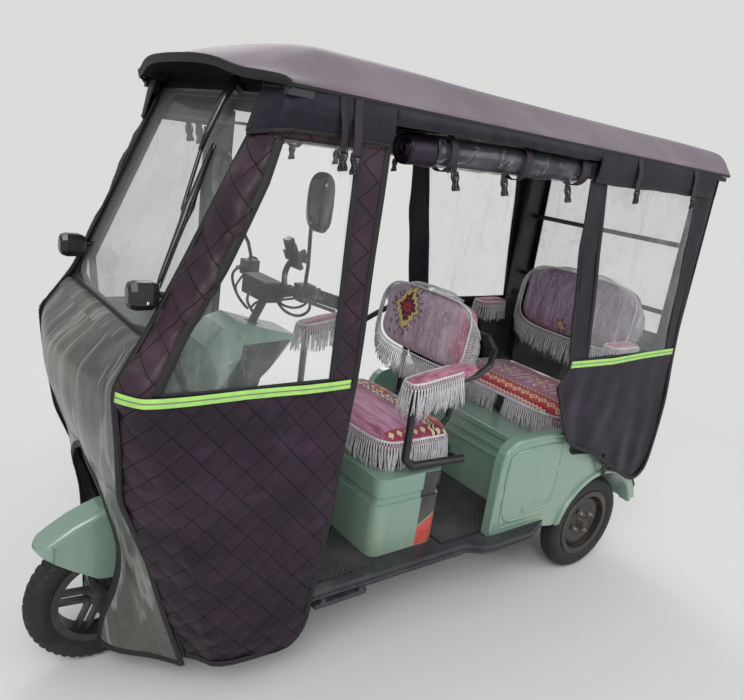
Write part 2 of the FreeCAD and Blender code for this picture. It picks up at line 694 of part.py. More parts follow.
solid_node("seat_box", seat_box())
node("battery_pack", box("battery_pack", ("460", "170", "190"), ("-230", "seat_box_front + 50", "floor_top")))
solid_node("driver_cushion", softened(block(-size("cushion_half"), size("cushion_half"), size("cushion_front"),
                                            size("cushion_rear"), size("cushion_low"), size("cushion_top")), 26))
solid_node("driver_seat_frame", seat_frame())
solid_node("driver_backrest", backrest(size("back_half"), size("back_low"), size("back_high"),
                                       size("back_front_y"), size("back_depth"), 90),
           leaning(size("back_front_y"), size("back_low")))
solid_node("arm_pads", arm_pads())


# bench

def bench_box():
    half, inner, wall = size("bench_half"), size("bench_inner_half"), size("bench_wall")
    front, rear = size("bench_front"), size("bench_rear")
    top, step = size("bench_top"), size("bench_step")
    foot = FLOOR - size("floor_depth")
    wide_end = REAR_Y - size("arch_radius") - 12
    upper = block(-half, half, front, rear, step, top)
    lower = block(-inner, inner, front, rear, foot, step)
    wide = block(-half, half, front, wide_end, FLOOR, step)
    notch = block(-half + 27, half - 27, front - 1, 545, foot - 1, FLOOR)
    body = fuse([upper, lower, wide]).cut(notch)
    room = fuse([block(-half + wall, half - wall, front + wall, rear - wall, step + wall, top - wall),
                 block(-inner + wall, inner - wall, front + wall, rear - wall, foot - 1, step + wall + 1)])
    body = body.cut(room)
    ribs = [block(-half + 8, half - 8, front - 7, front + 1, z, z + h)
            for z, h in ((596, 22), (548, 14), (508, 12))]
    return fuse([body] + ribs)


def side_guard():
    outline = [(905, size("bench_top") + GAP), (882, 760), (800, 930), (800, 957), (965, 957), (976, 1004),
               (1036, 1014), (1036, size("bench_top") + GAP)]
    half = size("bench_half")
    return side_prism(outline, half - 15, half - 2)


def tail_panel():
    y = size("bench_rear") + GAP
    half = size("bench_half") - 20
    body = block(-half, half, y, y + 8, FLOOR - 20, size("bench_top") + 20)
    edges = [e for e in body.Edges if abs(e.Vertexes[0].Point.y - e.Vertexes[1].Point.y) > 1
             and e.Vertexes[0].Point.z > size("bench_top")]
    body = body.makeFillet(40, edges)
    recess = block(-120, 120, y + 5, y + 10, 470, 580)
    body = body.cut(recess)
    for x in (-70, 70):
        body = body.cut(Part.makeCylinder(3.5, 20, Vector(x, y - 5, 525), Vector(0, 1, 0)))
    return body


def tail_lamps():
    y = size("bench_rear") + GAP + 8 + GAP
    half = size("bench_half")
    lamp = block(half - 140, half - 42, y, y + 26, 500, 560)
    edges = [e for e in lamp.Edges if all(v.Point.y > y + 20 for v in e.Vertexes)]
    return both(lamp.makeFillet(10, edges))


solid_node("bench_box", bench_box())
solid_node("bench_side_guards", both(side_guard()))
solid_node("bench_cushion", softened(block(-size("bench_cushion_half"), size("bench_cushion_half"),
                                           size("bench_cushion_front"), size("bench_cushion_rear"),
                                           size("bench_top") + GAP, size("bench_cushion_top")), 30))
solid_node("bench_backrest", backrest(size("bench_back_half"), size("bench_back_low"),
                                      size("bench_back_high"), size("bench_back_front"),
                                      size("bench_back_depth"), 110),
           leaning(size("bench_back_front"), size("bench_back_low")))
solid_node("tail_panel", tail_panel())
solid_node("tail_lamps", tail_lamps())


# rear side panels: (y, z) outline from the front foot over the fender

def side_panel():
    front, low, high = size("panel_front"), size("panel_low"), size("panel_high")
    x = size("panel_x")
    inner = size("bench_half") + 0.5
    radius = size("arch_radius")
    rear = size("bench_rear")
    top = [(front, low), (front, high - 84), (front + 8, high - 48), (front + 27, high - 22),
           (front + 52, high - 6), (front + 84, high), (560, high), (590, high - 14), (606, high - 42),
           (614, 600), (636, 580), (760, 566), (900, 534), (1010, 486), (1096, 414), (rear + 10, 340),
           (rear + 36, 286), (rear, 280), (600, 280), (552, 290), (544, low)]
    slab = side_prism(top, inner, x)
    deep = side_prism([(REAR_Y - radius - 11, 300), (REAR_Y - radius - 11, size("bench_step") - GAP),
                       (rear - 104, size("bench_step") - GAP), (rear - 30, 400), (rear - GAP, 345),
                       (rear - GAP, 290), (REAR_Y, 290)], size("bench_inner_half") + 0.5, inner + 1)
    cove = Part.makeCylinder(radius, 200, Vector(size("bench_inner_half") - 10, REAR_Y, WHEEL_Z), Vector(1, 0, 0))
    body = fuse([slab, deep]).cut(cove)
    ring = Part.makeCylinder(radius + size("flare_width"), size("flare_x") - x + 2,
                             Vector(x - 2, REAR_Y, WHEEL_Z), Vector(1, 0, 0))
    ring = ring.cut(Part.makeCylinder(radius, 60, Vector(x - 20, REAR_Y, WHEEL_Z), Vector(1, 0, 0)))
    ring = ring.common(block(x - 10, x + 30, REAR_Y - 400, REAR_Y + 400, 278, 700))
    raised = side_prism([(front + 42, low + 42), (front + 42, high - 92), (front + 54, high - 62),
                         (front + 88, high - 44), (556, high - 44), (570, high - 66), (570, low + 130),
                         (548, low + 42)], x - 1, x + 3)
    rib = side_prism([(front + 60, low + 18), (front + 60, low + 26), (540, low + 26), (540, low + 18)],
                     x - 1, x + 2.5)
    return fuse([body, ring, raised, rib])


solid_node("side_panels", both(side_panel()))


# roof, with its edge falling evenly to the rear

def edge_height(y):
    y0, y1 = size("roof_front"), size("roof_rear")
    z0, z1 = size("roof_edge_front"), size("roof_edge_rear")
    return z0 + (z1 - z0) * (y - y0) / (y1 - y0)


# columns: place along the vehicle, crest above the edge, crown above the edge
ROOF_STATIONS = [(-900, -23, 25), (-640, 93, 114), (-380, 93, 115), (-160, 85, 108), (300, 82, 106),
                 (1150, 80, 104)]


def roof():
    half, crest, skin, lip = size("roof_half"), size("roof_crest_x"), size("roof_skin"), size("roof_lip")
    sections = []
    for y, crest_up, crown_up in ROOF_STATIONS:
        if y > 1000:
            y = size("roof_rear")
        z = edge_height(y)
        outer = [(half, z - lip), (half, z), (crest, z + crest_up), (crest * 0.62, z + crown_up - 5),
                 (0, z + crown_up)]
        inner = [(half - skin, z - lip), (half - skin, z - skin * 0.6), (crest - 2, z + crest_up - skin),
                 (crest * 0.62, z + crown_up - 5 - skin), (0, z + crown_up - skin)]
        line = outer + [(-a, b) for a, b in outer[::-1][1:]]
        line = line + [(-a, b) for a, b in inner] + [(a, b) for a, b in inner[::-1][1:]]
        sections.append([(a, y, b) for a, b in line])
    shell = loft(sections)
    front, corner = size("roof_front"), size("roof_corner")
    rear = size("roof_rear")
    arc = Part.Arc(Vector(-half - 5, corner, 1500), Vector(0, front, 1500), Vector(half + 5, corner, 1500)).toShape()
    back = Part.makePolygon([Vector(half + 5, corner, 1500), Vector(half + 5, rear + 5, 1500),
                             Vector(-half - 5, rear + 5, 1500), Vector(-half - 5, corner, 1500)])
    plan = Part.Face(Part.Wire([arc] + back.Edges)).extrude(Vector(0, 0, 500))
    shell = shell.common(plan)
    z = edge_height(rear)
    closing = front_prism([(-half + 4, z - lip), (-half + 4, z - 4), (-crest, z + 75), (-crest * 0.62, z + 94),
                           (0, z + 99), (crest * 0.62, z + 94), (crest, z + 75), (half - 4, z - 4),
                           (half - 4, z - lip)], rear - 5, rear)
    return fuse([shell, closing])


solid_node("roof_shell", roof())


# windshield in its raked plane: u runs across, v up from the foot

SCREEN_LOW = Vector(0, size("screen_low_y"), size("screen_low_z"))
SCREEN_TOP = Vector(0, size("screen_top_y"), size("screen_top_z"))
SCREEN_UP = SCREEN_TOP.sub(SCREEN_LOW)
SCREEN_LONG = SCREEN_UP.Length
SCREEN_UP.normalize()
SCREEN_OUT = Vector(1, 0, 0).cross(SCREEN_UP)


def on_screen(u, v, out=0.0):
    return SCREEN_LOW + Vector(u, 0, 0) + SCREEN_UP * v + SCREEN_OUT * out


# canopy frame: rails under the roof's lip, posts, pillars and cross tubes

def canopy():
    half, lip, gap = size("roof_half"), size("roof_lip"), GAP
    height, width = size("rail_height"), size("rail_width")
    rear = size("pillar_front") + size("pillar_depth")
    front = -770
    def under(y):
        return edge_height(y) - lip - gap
    pieces = []
    for side in (-1, 1):
        a, b = sorted((side * (half - 2), side * (half - 2 - width)))
        outline = [(front, under(front)), (rear, under(rear)), (rear, under(rear) - height),
                   (front, under(front) - height)]
        pieces.append(side_prism(outline, a, b))
        behind = -8 - GAP - 11
        foot_x = size("floor_half") - 46
        post = [(side * (size("screen_half_top") + 12), -704, under(-704) - 9),
                tuple(on_screen(side * (size("screen_half_top") + 8), SCREEN_LONG - 22, behind)),
                tuple(on_screen(side * (size("screen_half_low") + 8), 60, behind)),
                (side * (size("screen_half_low") + 2), -935, 1050), (side * foot_x, -716, 420),
                (side * foot_x, -682, FLOOR + 40), (side * foot_x, -682, FLOOR + GAP)]
        pieces.append(rod(post, 11))
        x = size("pillar_x")
        a, b = sorted((side * x, side * (x + size("pillar_width"))))
        y0 = size("pillar_front")
        y1 = y0 + size("pillar_depth")
        pieces.append(side_prism([(y0, 525), (y0, under(y0) - 4), (y1, under(y1) - 4), (y1, 525)], a, b))
        cap = sorted((side * x, side * (half - 8)))
        pieces.append(side_prism([(y0, under(y0) - 4), (y0, under(y0) - 10), (y1, under(y1) - 10),
                                  (y1, under(y1) - 4)], cap[0], cap[1]))
        a, b = sorted((side * (size("bench_half") + GAP), side * (x + 1)))
        pieces.append(block(a, b, y0 + 10, y1 - 10, 528, 610))
    for y in (-704, -300, 300, 1090):
        z = under(y) - 9
        pieces.append(rod([(-half + 19, y, z), (half - 19, y, z)], 8))
    z = size("crossbar_z")
    pieces.append(rod([(-size("pillar_x") - 4, rear - 30, z), (size("pillar_x") + 4, rear - 30, z)], 10))
    lean = math.radians(size("back_lean"))
    for z in (980, 1120):
        back = (size("bench_back_front") + size("bench_back_depth") / math.cos(lean)
                + (z - size("bench_back_low")) * math.tan(lean))
        y = back + (10 + GAP) / math.cos(lean)
        pieces.append(rod([(-size("pillar_x") - 4, y, z), (size("pillar_x") + 4, y, z)], 10))
    return fuse(pieces)


solid_node("canopy_frame", canopy())


def screen_outline(grow, out):
    top, low, long = size("screen_half_top") + grow, size("screen_half_low") + grow, SCREEN_LONG + grow
    p = [on_screen(-top, long, out), on_screen(-low, 44, out), on_screen(-low + 40, 4 - grow * 0.8, out),
         on_screen(-low + 130, -14 - grow, out), on_screen(0, -18 - grow, out),
         on_screen(low - 130, -14 - grow, out), on_screen(low - 40, 4 - grow * 0.8, out),
         on_screen(low, 44, out), on_screen(top, long, out)]
    lines = [Part.makeLine(p[0], p[1]), Part.makeLine(p[1], p[2]), Part.makeLine(p[2], p[3]),
             Part.Arc(p[3], p[4], p[5]).toShape(), Part.makeLine(p[5], p[6]), Part.makeLine(p[6], p[7]),
             Part.makeLine(p[7], p[8]), Part.makeLine(p[8], p[0])]
    return Part.Face(Part.Wire(lines))


def screen_slab(grow, out, thick):
    return screen_outline(grow, out).extrude(SCREEN_OUT * thick)


def screen_frame():
    border, thick = size("screen_border"), size("glass_thick")
    ring = screen_slab(border, -6, thick + 12).cut(screen_slab(GAP, -10, thick + 20))
    lip = screen_slab(border, -8, 2.2).cut(screen_slab(-9, -12, 12))
    bar = rod([tuple(on_screen(-size("screen_half_top"), SCREEN_LONG - 76, -4.2)),
               tuple(on_screen(size("screen_half_top"), SCREEN_LONG - 76, -4.2))], 3.5)
    header = side_prism([(size("screen_top_y") - 2, size("screen_top_z") + 6),
                         (size("screen_top_y") + 12, size("screen_top_z") + 46),
                         (size("screen_top_y") + 16, size("screen_top_z") + 46),
                         (size("screen_top_y") + 10, size("screen_top_z") + 6)], -375, 375)
    return fuse([ring, lip, bar, header])


def wiper():
    # columns: across, up the screen, out from it
    arm = [(170, SCREEN_LONG + 8, 30), (174, SCREEN_LONG - 86, 36), (184, SCREEN_LONG - 178, 38), (206, 290, 22)]
    low = on_screen(270, 97, 15)
    high = on_screen(190, 470, 15)
    run = low.sub(high)
    hub = Part.makeCylinder(15, 26, on_screen(170, SCREEN_LONG + 8, 11 + GAP), SCREEN_OUT)
    blade = Part.makeCylinder(5, run.Length, high, run)
    return fuse([hub, rod([tuple(on_screen(*p)) for p in arm], 5), blade, rod([tuple(on_screen(206, 290, 22)),
                 tuple(high + run * 0.45)], 5)])


def turn_signal():
    foot = on_screen(size("screen_half_low") - 18, 96, size("glass_thick") + GAP)
    near = foot + SCREEN_OUT * 14
    body = softened(block(foot.x - 34, foot.x + 12, foot.y - 92, foot.y - 30, foot.z - 6, foot.z + 32), 9)
    arm = rod([tuple(near), (foot.x - 10, foot.y - 44, foot.z + 12)], 7)
    return fuse([Part.makeCylinder(8, 26, foot, SCREEN_OUT), arm, body])


solid_node("windshield_glass", screen_slab(0, 0, size("glass_thick")))
solid_node("windshield_frame", screen_frame())
solid_node("wiper", wiper())
solid_node("turn_signals", both(turn_signal()))


# soft sheets
# apron columns: height, then (x, y) at the middle and the quarter; the edge follows the front curtain
APRON = [
    (1084, (0, -1052), (190, -1049)),
    (1010, (0, -1140), (190, -1130)),
    (880, (0, -1130), (190, -1116)),
    (700, (0, -1060), (170, -1058)),
    (480, (0, -1052), (150, -1024)),
    (105, (0, -1040), (140, -1002)),
]
# half of the wheel slot as (x, z)
SLOT = [(0, 60), (78, 60), (88, 150), (104, 211), (138, 300), (168, 400), (190, 490), (190, 545), (150, 610),
        (95, 665), (45, 692), (0, 700)]


# front curtain columns: height, then (x, y) at the rear, the corner, the bend and the front
# a rear or corner x is measured from the sheet's face, the others from the top half width of the glass
CURTAIN = [
    (1702, (0, -470), (0, -738), (28, -748), (-8, -750)),
    (1500, (0, -472), (0, -799), (22, -839), (-18, -841)),
    (1300, (0, -473), (0, -882), (13, -929), (-22, -931)),
    (1140, (0, -475), (0, -966), (8, -1002), (-26, -1005)),
    (1010, (0, -477), (-2, -1030), (42, -1070), (6, -1090)),
    (880, (-3, -482), (-8, -984), (40, -1044), (6, -1076)),
    (700, (-9, -490), (-16, -936), (12, -1006), (-38, -1052)),
    (480, (-18, -500), (-30, -862), (-6, -916), (-64, -962)),
    (140, (-43, -520), (-60, -775), (-40, -816), (-68, -846)),
]


def strip_edge(z):
    # the front edge of the front curtain at a height
    glass = size("screen_half_top")
    rows = [(row[0], glass + row[4][0], row[4][1]) for row in CURTAIN]
    for high, low in zip(rows, rows[1:]):
        if z > low[0] or low is rows[-1]:
            part = (z - high[0]) / (low[0] - high[0])
            return high[1] + (low[1] - high[1]) * part, high[2] + (low[2] - high[2]) * part


def sheet_section(points, thick):
    # a thin closed section: the outer line, then the same line moved inwards
    line = [Vector(x, y, 0) for x, y in points]
    inner = []
    for i, p in enumerate(line):
        a = line[max(i - 1, 0)]
        b = line[min(i + 1, len(line) - 1)]
        run = b.sub(a)
        run.normalize()
        inner.append(p + Vector(run.y, -run.x, 0) * thick)
    return [(p.x, p.y) for p in line] + [(p.x, p.y) for p in inner[::-1]]


def apron():
    thick = size("sheet_thick")
    sections = []
    for z, mid, quarter in APRON:
        x, y = strip_edge(z)
        edge = (x - size("apron_gap"), y)
        line = [edge, quarter, mid, (-quarter[0], quarter[1]), (-edge[0], edge[1])]
        closed = sheet_section([(x, y) for x, y in line[::-1]], -thick)
        sections.append([(x, y, z) for x, y in closed])
    body = loft(sections)
    slot = [(x, z) for x, z in SLOT] + [(-x, z) for x, z in SLOT[::-1][1:-1]]
    return body.cut(front_prism(slot, -1400, -700))


FRONT_WINDOW = [(-764, 1594), (-560, 1600), (-556, 1004), (-1022, 1004), (-960, 1138), (-912, 1230), (-874, 1300),
                (-791, 1500)]


def front_sheet(thick):
    sections = []
    face, glass = size("sheet_x"), size("screen_half_top")
    for z, rear, corner, bend, front in CURTAIN:
        line = [(face + rear[0], rear[1]), (face + corner[0], corner[1]),
                (glass + bend[0], bend[1]), (glass + front[0], front[1])]
        closed = sheet_section(line, thick)
        sections.append([(x, y, z) for x, y in closed])
    return trimmed(loft(sections))


def trimmed(body):
    # the sheet ends just below its rail
    low = size("roof_lip") + size("rail_height") + 2 * GAP
    above = side_prism([(-1400, edge_height(-1400) - low), (-1400, 2000), (1400, 2000),
                        (1400, edge_height(1400) - low)], -600, 600)
    return body.cut(above)


def window_prism(outline, margin):
    cy = sum(p[0] for p in outline) / len(outline)
    cz = sum(p[1] for p in outline) / len(outline)
    points = []
    for y, z in outline:
        far = math.hypot(y - cy, z - cz)
        scale = (far - margin) / far
        points.append((cy + (y - cy) * scale, cz + (z - cz) * scale))
    return side_prism(points, size("screen_half_low"), size("sheet_x") + 60)


REAR_OUTLINE = [(338, 1700), (352, 1600), (368, 1440), (366, 1377), (396, 1262), (418, 1104), (455, 966),
                (452, 945), (408, 887), (446, 833), (490, 744), (533, 674), (600, 632), (690, 604), (760, 570),
                (892, 494), (980, 446), (1040, 418), (1090, 424), (1134, 465), (1146, 612), (1148, 735),
                (1144, 793), (1112, 975), (1092, 1247), (1082, 1448), (1068, 1700)]
REAR_WINDOW = [(420, 1604), (452, 1440), (468, 1355), (492, 1252), (518, 1104), (538, 990), (1052, 998),
               (1022, 1250), (1006, 1447), (985, 1604)]


def rear_sheet():
    x = size("sheet_x")
    return trimmed(side_prism(REAR_OUTLINE, x - size("sheet_thick"), x))


def roll():
    x, z, r = size("roll_x"), size("roll_z"), size("roll_radius")
    front, rear = size("roll_front"), size("roll_rear")
    body = Part.makeCylinder(r, rear - front, Vector(x, front, z), Vector(0, rear - front, 8))
    pieces = [body]
    for y in (front + 128, front + 420, front + 700):
        drop = 8 * (y - front) / (rear - front)
        band = Part.makeCylinder(r + 2.5, 26, Vector(x, y, z + drop), Vector(0, 1, 0))
        hang = block(x + 20, x + r + 3, y, y + 26, z + drop, edge_height(y + 26) - size("roof_lip")
                     - size("rail_height") - 2 * GAP)
        pieces.append(band)
        pieces.append(hang)
    return fuse(pieces)


def back_curtain():
    y = size("pillar_front") + size("pillar_depth") + GAP
    top = edge_height(size("roof_rear")) - size("roof_lip") - 2
    return block(-size("back_sheet_half"), size("back_sheet_half"), y, y + 3, 660, top)


front_left = front_sheet(size("sheet_thick"))
front_hole = window_prism(FRONT_WINDOW, 0)
front_pane = front_left.common(window_prism(FRONT_WINDOW, size("window_gap")))
rear_left = rear_sheet()
rear_hole = window_prism(REAR_WINDOW, 0)
rear_pane = rear_left.common(window_prism(REAR_WINDOW, size("window_gap")))
solid_node("front_apron", apron())
solid_node("front_curtains", both(front_left.cut(front_hole)))
solid_node("rear_curtains", both(rear_left.cut(rear_hole)))
solid_node("curtain_windows", Part.makeCompound([front_pane, mirrored(front_pane), rear_pane, mirrored(rear_pane)]))
solid_node("curtain_rolls", both(roll()))
solid_node("back_curtain", back_curtain())


# rear bumper

def bumper():
    end, r, z = size("bumper_end") - size("bumper_radius"), size("bumper_radius"), size("bumper_z")
    rail = size("frame_rail_end") + GAP
    half = size("bench_half")
    start = size("bench_rear") + 42
    loop = rod([(-half, start, z), (-half, end - 14, z), (-half + 14, end, z), (half - 14, end, z),
                (half, end - 14, z), (half, start, z)], r)
    pieces = [loop]
    for side in (-1, 1):
        x = side * size("frame_rail_x")
        pieces.append(block(x - 18, x + 18, rail, end, FLOOR - size("floor_depth") - 30, FLOOR - size("floor_depth")))
        pieces.append(block(x - 18, x + 18, end - 10, end + 4, FLOOR - size("floor_depth") - 30, z))
        pieces.append(Part.makeCylinder(17, 22, Vector(side * half, end - 12, z - 30), Vector(0, 0, 1)))
    return fuse(pieces)


solid_node("rear_bumper", bumper())

doc.recompute()
bad = []
for thing in doc.Objects:
    if "Invalid" in thing.State or "Error" in thing.State:
        bad.append(thing.Name)
if bad:
    raise RuntimeError("objects with an error: " + ", ".join(bad))
for label, thing in NODES.items():
    shape = thing.Shape
    if shape.isNull() or not shape.isValid() or shape.Volume <= 0:
        raise RuntimeError("bad shape: " + label)
    print(label, "solids", len(shape.Solids), "faces", len(shape.Faces), "litres %.2f" % (shape.Volume / 1e6),
          "box", [round(v) for v in (shape.BoundBox.XMin, shape.BoundBox.XMax, shape.BoundBox.YMin,
                                     shape.BoundBox.YMax, shape.BoundBox.ZMin, shape.BoundBox.ZMax)])
    shape.exportStep("parts/" + label + ".step")
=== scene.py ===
import math
import bpy
import numpy as np
from mathutils import Matrix, Vector


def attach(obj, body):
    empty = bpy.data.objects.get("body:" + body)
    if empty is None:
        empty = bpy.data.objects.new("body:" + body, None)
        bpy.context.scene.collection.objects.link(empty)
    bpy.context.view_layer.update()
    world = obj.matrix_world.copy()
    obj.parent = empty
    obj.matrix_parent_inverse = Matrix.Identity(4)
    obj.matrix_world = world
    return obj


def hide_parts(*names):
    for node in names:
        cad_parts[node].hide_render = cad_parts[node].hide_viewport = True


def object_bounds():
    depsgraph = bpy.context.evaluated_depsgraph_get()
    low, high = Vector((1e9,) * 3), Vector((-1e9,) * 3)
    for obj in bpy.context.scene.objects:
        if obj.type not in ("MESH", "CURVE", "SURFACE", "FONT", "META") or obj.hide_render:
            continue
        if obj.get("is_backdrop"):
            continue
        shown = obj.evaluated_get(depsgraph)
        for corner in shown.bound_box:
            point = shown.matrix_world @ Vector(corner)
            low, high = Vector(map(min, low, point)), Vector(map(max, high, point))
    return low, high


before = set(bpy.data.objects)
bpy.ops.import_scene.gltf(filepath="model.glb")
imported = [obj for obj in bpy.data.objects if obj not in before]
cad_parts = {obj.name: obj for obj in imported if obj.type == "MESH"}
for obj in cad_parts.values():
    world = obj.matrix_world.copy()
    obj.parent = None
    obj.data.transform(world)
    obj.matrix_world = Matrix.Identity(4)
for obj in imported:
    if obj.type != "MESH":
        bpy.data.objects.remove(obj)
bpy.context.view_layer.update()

# The vehicle faces -Y, +X is its left side, +Z is up, and lengths are in metres.
MM = 0.001
LEFT = 1
RIGHT = -1
SIDES = ((LEFT, "left"), (RIGHT, "right"))


# Shader graphs, written as arithmetic on sockets

class Val:
    def __init__(self, graph, socket):
        self.graph = graph
        self.socket = socket

    def op(self, name, *others, swap=False):
        values = [self] + list(others)
        if swap:
            values = values[::-1]
        return self.graph.calc(name, *values)

    def __add__(self, other):
        return self.op("ADD", other)

    __radd__ = __add__

    def __sub__(self, other):
        return self.op("SUBTRACT", other)

    def __rsub__(self, other):
        return self.op("SUBTRACT", other, swap=True)

    def __mul__(self, other):
        return self.op("MULTIPLY", other)

    __rmul__ = __mul__

    def __truediv__(self, other):
        return self.op("DIVIDE", other)

    def less(self, other):
        return self.op("LESS_THAN", other)

    def more(self, other):
        return self.op("GREATER_THAN", other)

    def abs(self):
        return self.op("ABSOLUTE")

    def sin(self):
        return self.op("SINE")

    def fract(self):
        return self.op("FRACT")

    def power(self, other):
        return self.op("POWER", other)

    def low(self, other):
        return self.op("MINIMUM", other)

    def high(self, other):
        return self.op("MAXIMUM", other)

    def soft(self, start, end):
        # 0 before start, 1 after end
        node = self.graph.tree.nodes.new("ShaderNodeMapRange")
        node.interpolation_type = "SMOOTHSTEP"
        self.graph.plug(self, node.inputs["Value"])
        node.inputs["From Min"].default_value = start
        node.inputs["From Max"].default_value = end
        return Val(self.graph, node.outputs["Result"])

    def wave(self, pitch):
        # 0 to 1 to 0 over one pitch
        return ((self / pitch).fract() * 2 - 1).abs()


class Graph:
    def __init__(self, name):
        self.material = bpy.data.materials.new(name)
        self.material.use_nodes = True
        self.tree = self.material.node_tree
        self.shader = self.tree.nodes["Principled BSDF"]
        self.output = self.tree.nodes["Material Output"]

    def plug(self, value, socket):
        if isinstance(value, Val):
            self.tree.links.new(value.socket, socket)
        else:
            socket.default_value = value

    def calc(self, name, *values):
        node = self.tree.nodes.new("ShaderNodeMath")
        node.operation = name
        for value, socket in zip(values, node.inputs):
            self.plug(value, socket)
        return Val(self, node.outputs[0])

    def place(self, kind="Object"):
        node = self.tree.nodes.new("ShaderNodeTexCoord")
        return Val(self, node.outputs[kind])

    def parts(self, vector):
        node = self.tree.nodes.new("ShaderNodeSeparateXYZ")
        self.plug(vector, node.inputs[0])
        return [Val(self, out) for out in node.outputs]

    def xyz(self):
        return self.parts(self.place())

    def uv(self):
        # the place on a sheet in metres, along it and up it
        return self.parts(self.place("UV"))[:2]

    def join(self, x, y, z=0.0):
        node = self.tree.nodes.new("ShaderNodeCombineXYZ")
        for value, socket in zip((x, y, z), node.inputs):
            self.plug(value, socket)
        return Val(self, node.outputs[0])

    def noise(self, scale, detail=3.0, rough=0.55, vector=None, stretch=None):
        node = self.tree.nodes.new("ShaderNodeTexNoise")
        place = vector if vector is not None else self.place()
        if stretch:
            shift = self.tree.nodes.new("ShaderNodeMapping")
            self.plug(place, shift.inputs["Vector"])
            shift.inputs["Scale"].default_value = stretch
            place = Val(self, shift.outputs[0])
        self.plug(place, node.inputs["Vector"])
        node.inputs["Scale"].default_value = scale
        node.inputs["Detail"].default_value = detail
        node.inputs["Roughness"].default_value = rough
        return Val(self, node.outputs["Fac"])

    def mix(self, share, first, second):
        node = self.tree.nodes.new("ShaderNodeMix")
        node.data_type = "RGBA"
        self.plug(share, node.inputs[0])
        for value, socket in ((first, node.inputs[6]), (second, node.inputs[7])):
            if isinstance(value, Val):
                self.plug(value, socket)
            else:
                socket.default_value = (*value, 1.0)
        return Val(self, node.outputs[2])

    def over(self, shade, *layers):
        # colours laid one after another over a first one, each through its own mask
        for mask, color in layers:
            shade = self.mix(mask, shade, color)
        return shade

    def facing(self, blend=0.5):
        node = self.tree.nodes.new("ShaderNodeLayerWeight")
        node.inputs["Blend"].default_value = blend
        return Val(self, node.outputs["Facing"])

    def bump(self, height, depth, strength=1.0):
        node = self.tree.nodes.new("ShaderNodeBump")
        node.inputs["Strength"].default_value = strength
        node.inputs["Distance"].default_value = depth
        self.plug(height, node.inputs["Height"])
        self.tree.links.new(node.outputs["Normal"], self.shader.inputs["Normal"])

    def see_through(self):
        self.material.use_transparent_shadow = True
        self.material.surface_render_method = "DITHERED"

    def finish(self, color, rough, **settings):
        for name, value in {"Base_Color": color, "Roughness": rough, **settings}.items():
            if isinstance(value, tuple):
                value = (*value, 1.0)
            self.plug(value, self.shader.inputs[name.replace("_", " ")])
        return self.material


def rgb(red, green, blue):
    # linear colour from screen values of 0 to 255
    out = []
    for part in (red, green, blue):
        part = part / 255
        out.append(part / 12.92 if part <= 0.04045 else ((part + 0.055) / 1.055) ** 2.4)
    return tuple(out)


# Materials

MINT = rgb(121, 152, 137)
ROAD_DUST = rgb(176, 170, 140)


def scaled(color, factor, lift=0.0):
    return tuple(c * factor + lift for c in color)


def road_dirt(g, z, low_band, all_over, low_down, specks):
    # the share of dust on painted steel: clouds all over, more of them low down, and specks
    speck = g.noise(60, 4, 0.7)
    grime = g.noise(7, 6, 0.7, stretch=(1, 1, 0.35))
    low = 1 - z.soft(*low_band)
    clouds = grime.soft(0.42, 0.78) * all_over + low * grime.soft(0.3, 0.7) * low_down
    return clouds + speck.soft(*specks) * 0.12


def paint(name, inner_panel=False):
    g = Graph(name)
    x, y, z = g.xyz()
    cloud = g.noise(3.2, 5, 0.6)
    share = road_dirt(g, z, (0.30, 0.62), 0.14, 0.26, (0.62, 0.75))
    tint = g.mix(cloud, scaled(MINT, 0.93), scaled(MINT, 1.06))
    if inner_panel:
        # the side of the cowl that faces the driver is black
        rise = (z - 0.875) * 0.664
        edge = (rise + rise.abs()) * 0.5 - 0.731
        tint = g.mix(x.abs().less(0.1384) * z.less(1.008) * (y - edge).more(0.0), tint, rgb(30, 32, 35))
    g.bump(g.noise(140, 2, 0.5), 0.0003, 0.15)
    return g.finish(g.mix(share, tint, ROAD_DUST), share * 0.5 + 0.30, Coat_Weight=0.8, Coat_Roughness=0.08)


def dark_metal(name, color=(0.010, 0.0105, 0.013), rough=0.36, dust=(0.10, 0.098, 0.092), share=0.25,
               metal=0.0):
    g = Graph(name)
    grime = g.noise(9, 6, 0.65)
    speck = g.noise(90, 3, 0.6)
    amount = grime.soft(0.45, 0.8) * share + speck.soft(0.66, 0.8) * share * 0.5
    g.bump(g.noise(220, 2, 0.5), 0.0003, 0.3)
    return g.finish(g.mix(amount, color, dust), amount * 0.6 + rough, Metallic=metal)


def plastic(name, color=(0.02, 0.021, 0.024), rough=0.48, dust=(0.17, 0.165, 0.15), share=0.35, grain=420):
    g = Graph(name)
    grime = g.noise(8, 6, 0.7)
    amount = grime.soft(0.42, 0.8) * share
    g.bump(g.noise(grain, 2, 0.5), 0.0004, 0.5)
    return g.finish(g.mix(amount, color, dust), amount * 0.5 + rough)


def rubber(name, color=(0.0062, 0.0066, 0.0076), dust=(0.042, 0.042, 0.043)):
    g = Graph(name)
    grime = g.noise(14, 7, 0.7)
    speck = g.noise(120, 3, 0.7)
    amount = grime.soft(0.40, 0.75) * 0.5 + speck.soft(0.6, 0.8) * 0.15
    g.bump(g.noise(300, 3, 0.6), 0.0006, 0.5)
    return g.finish(g.mix(amount, color, dust), amount * 0.2 + 0.62)


def mat_rubber():
    # a small diamond tread, drawn in the floor's plane
    g = Graph("mat_rubber")
    x, y = g.xyz()[:2]
    line = (x + y).wave(0.022).high((x - y).wave(0.022)).soft(0.70, 0.95)
    grime = g.noise(6, 6, 0.7)
    base = g.mix(grime.soft(0.35, 0.75), (0.014, 0.014, 0.017), (0.060, 0.058, 0.056))
    g.bump(line, 0.0022, 1.0)
    return g.finish(g.mix(line * 0.6, base, (0.085, 0.085, 0.088)), 0.6)


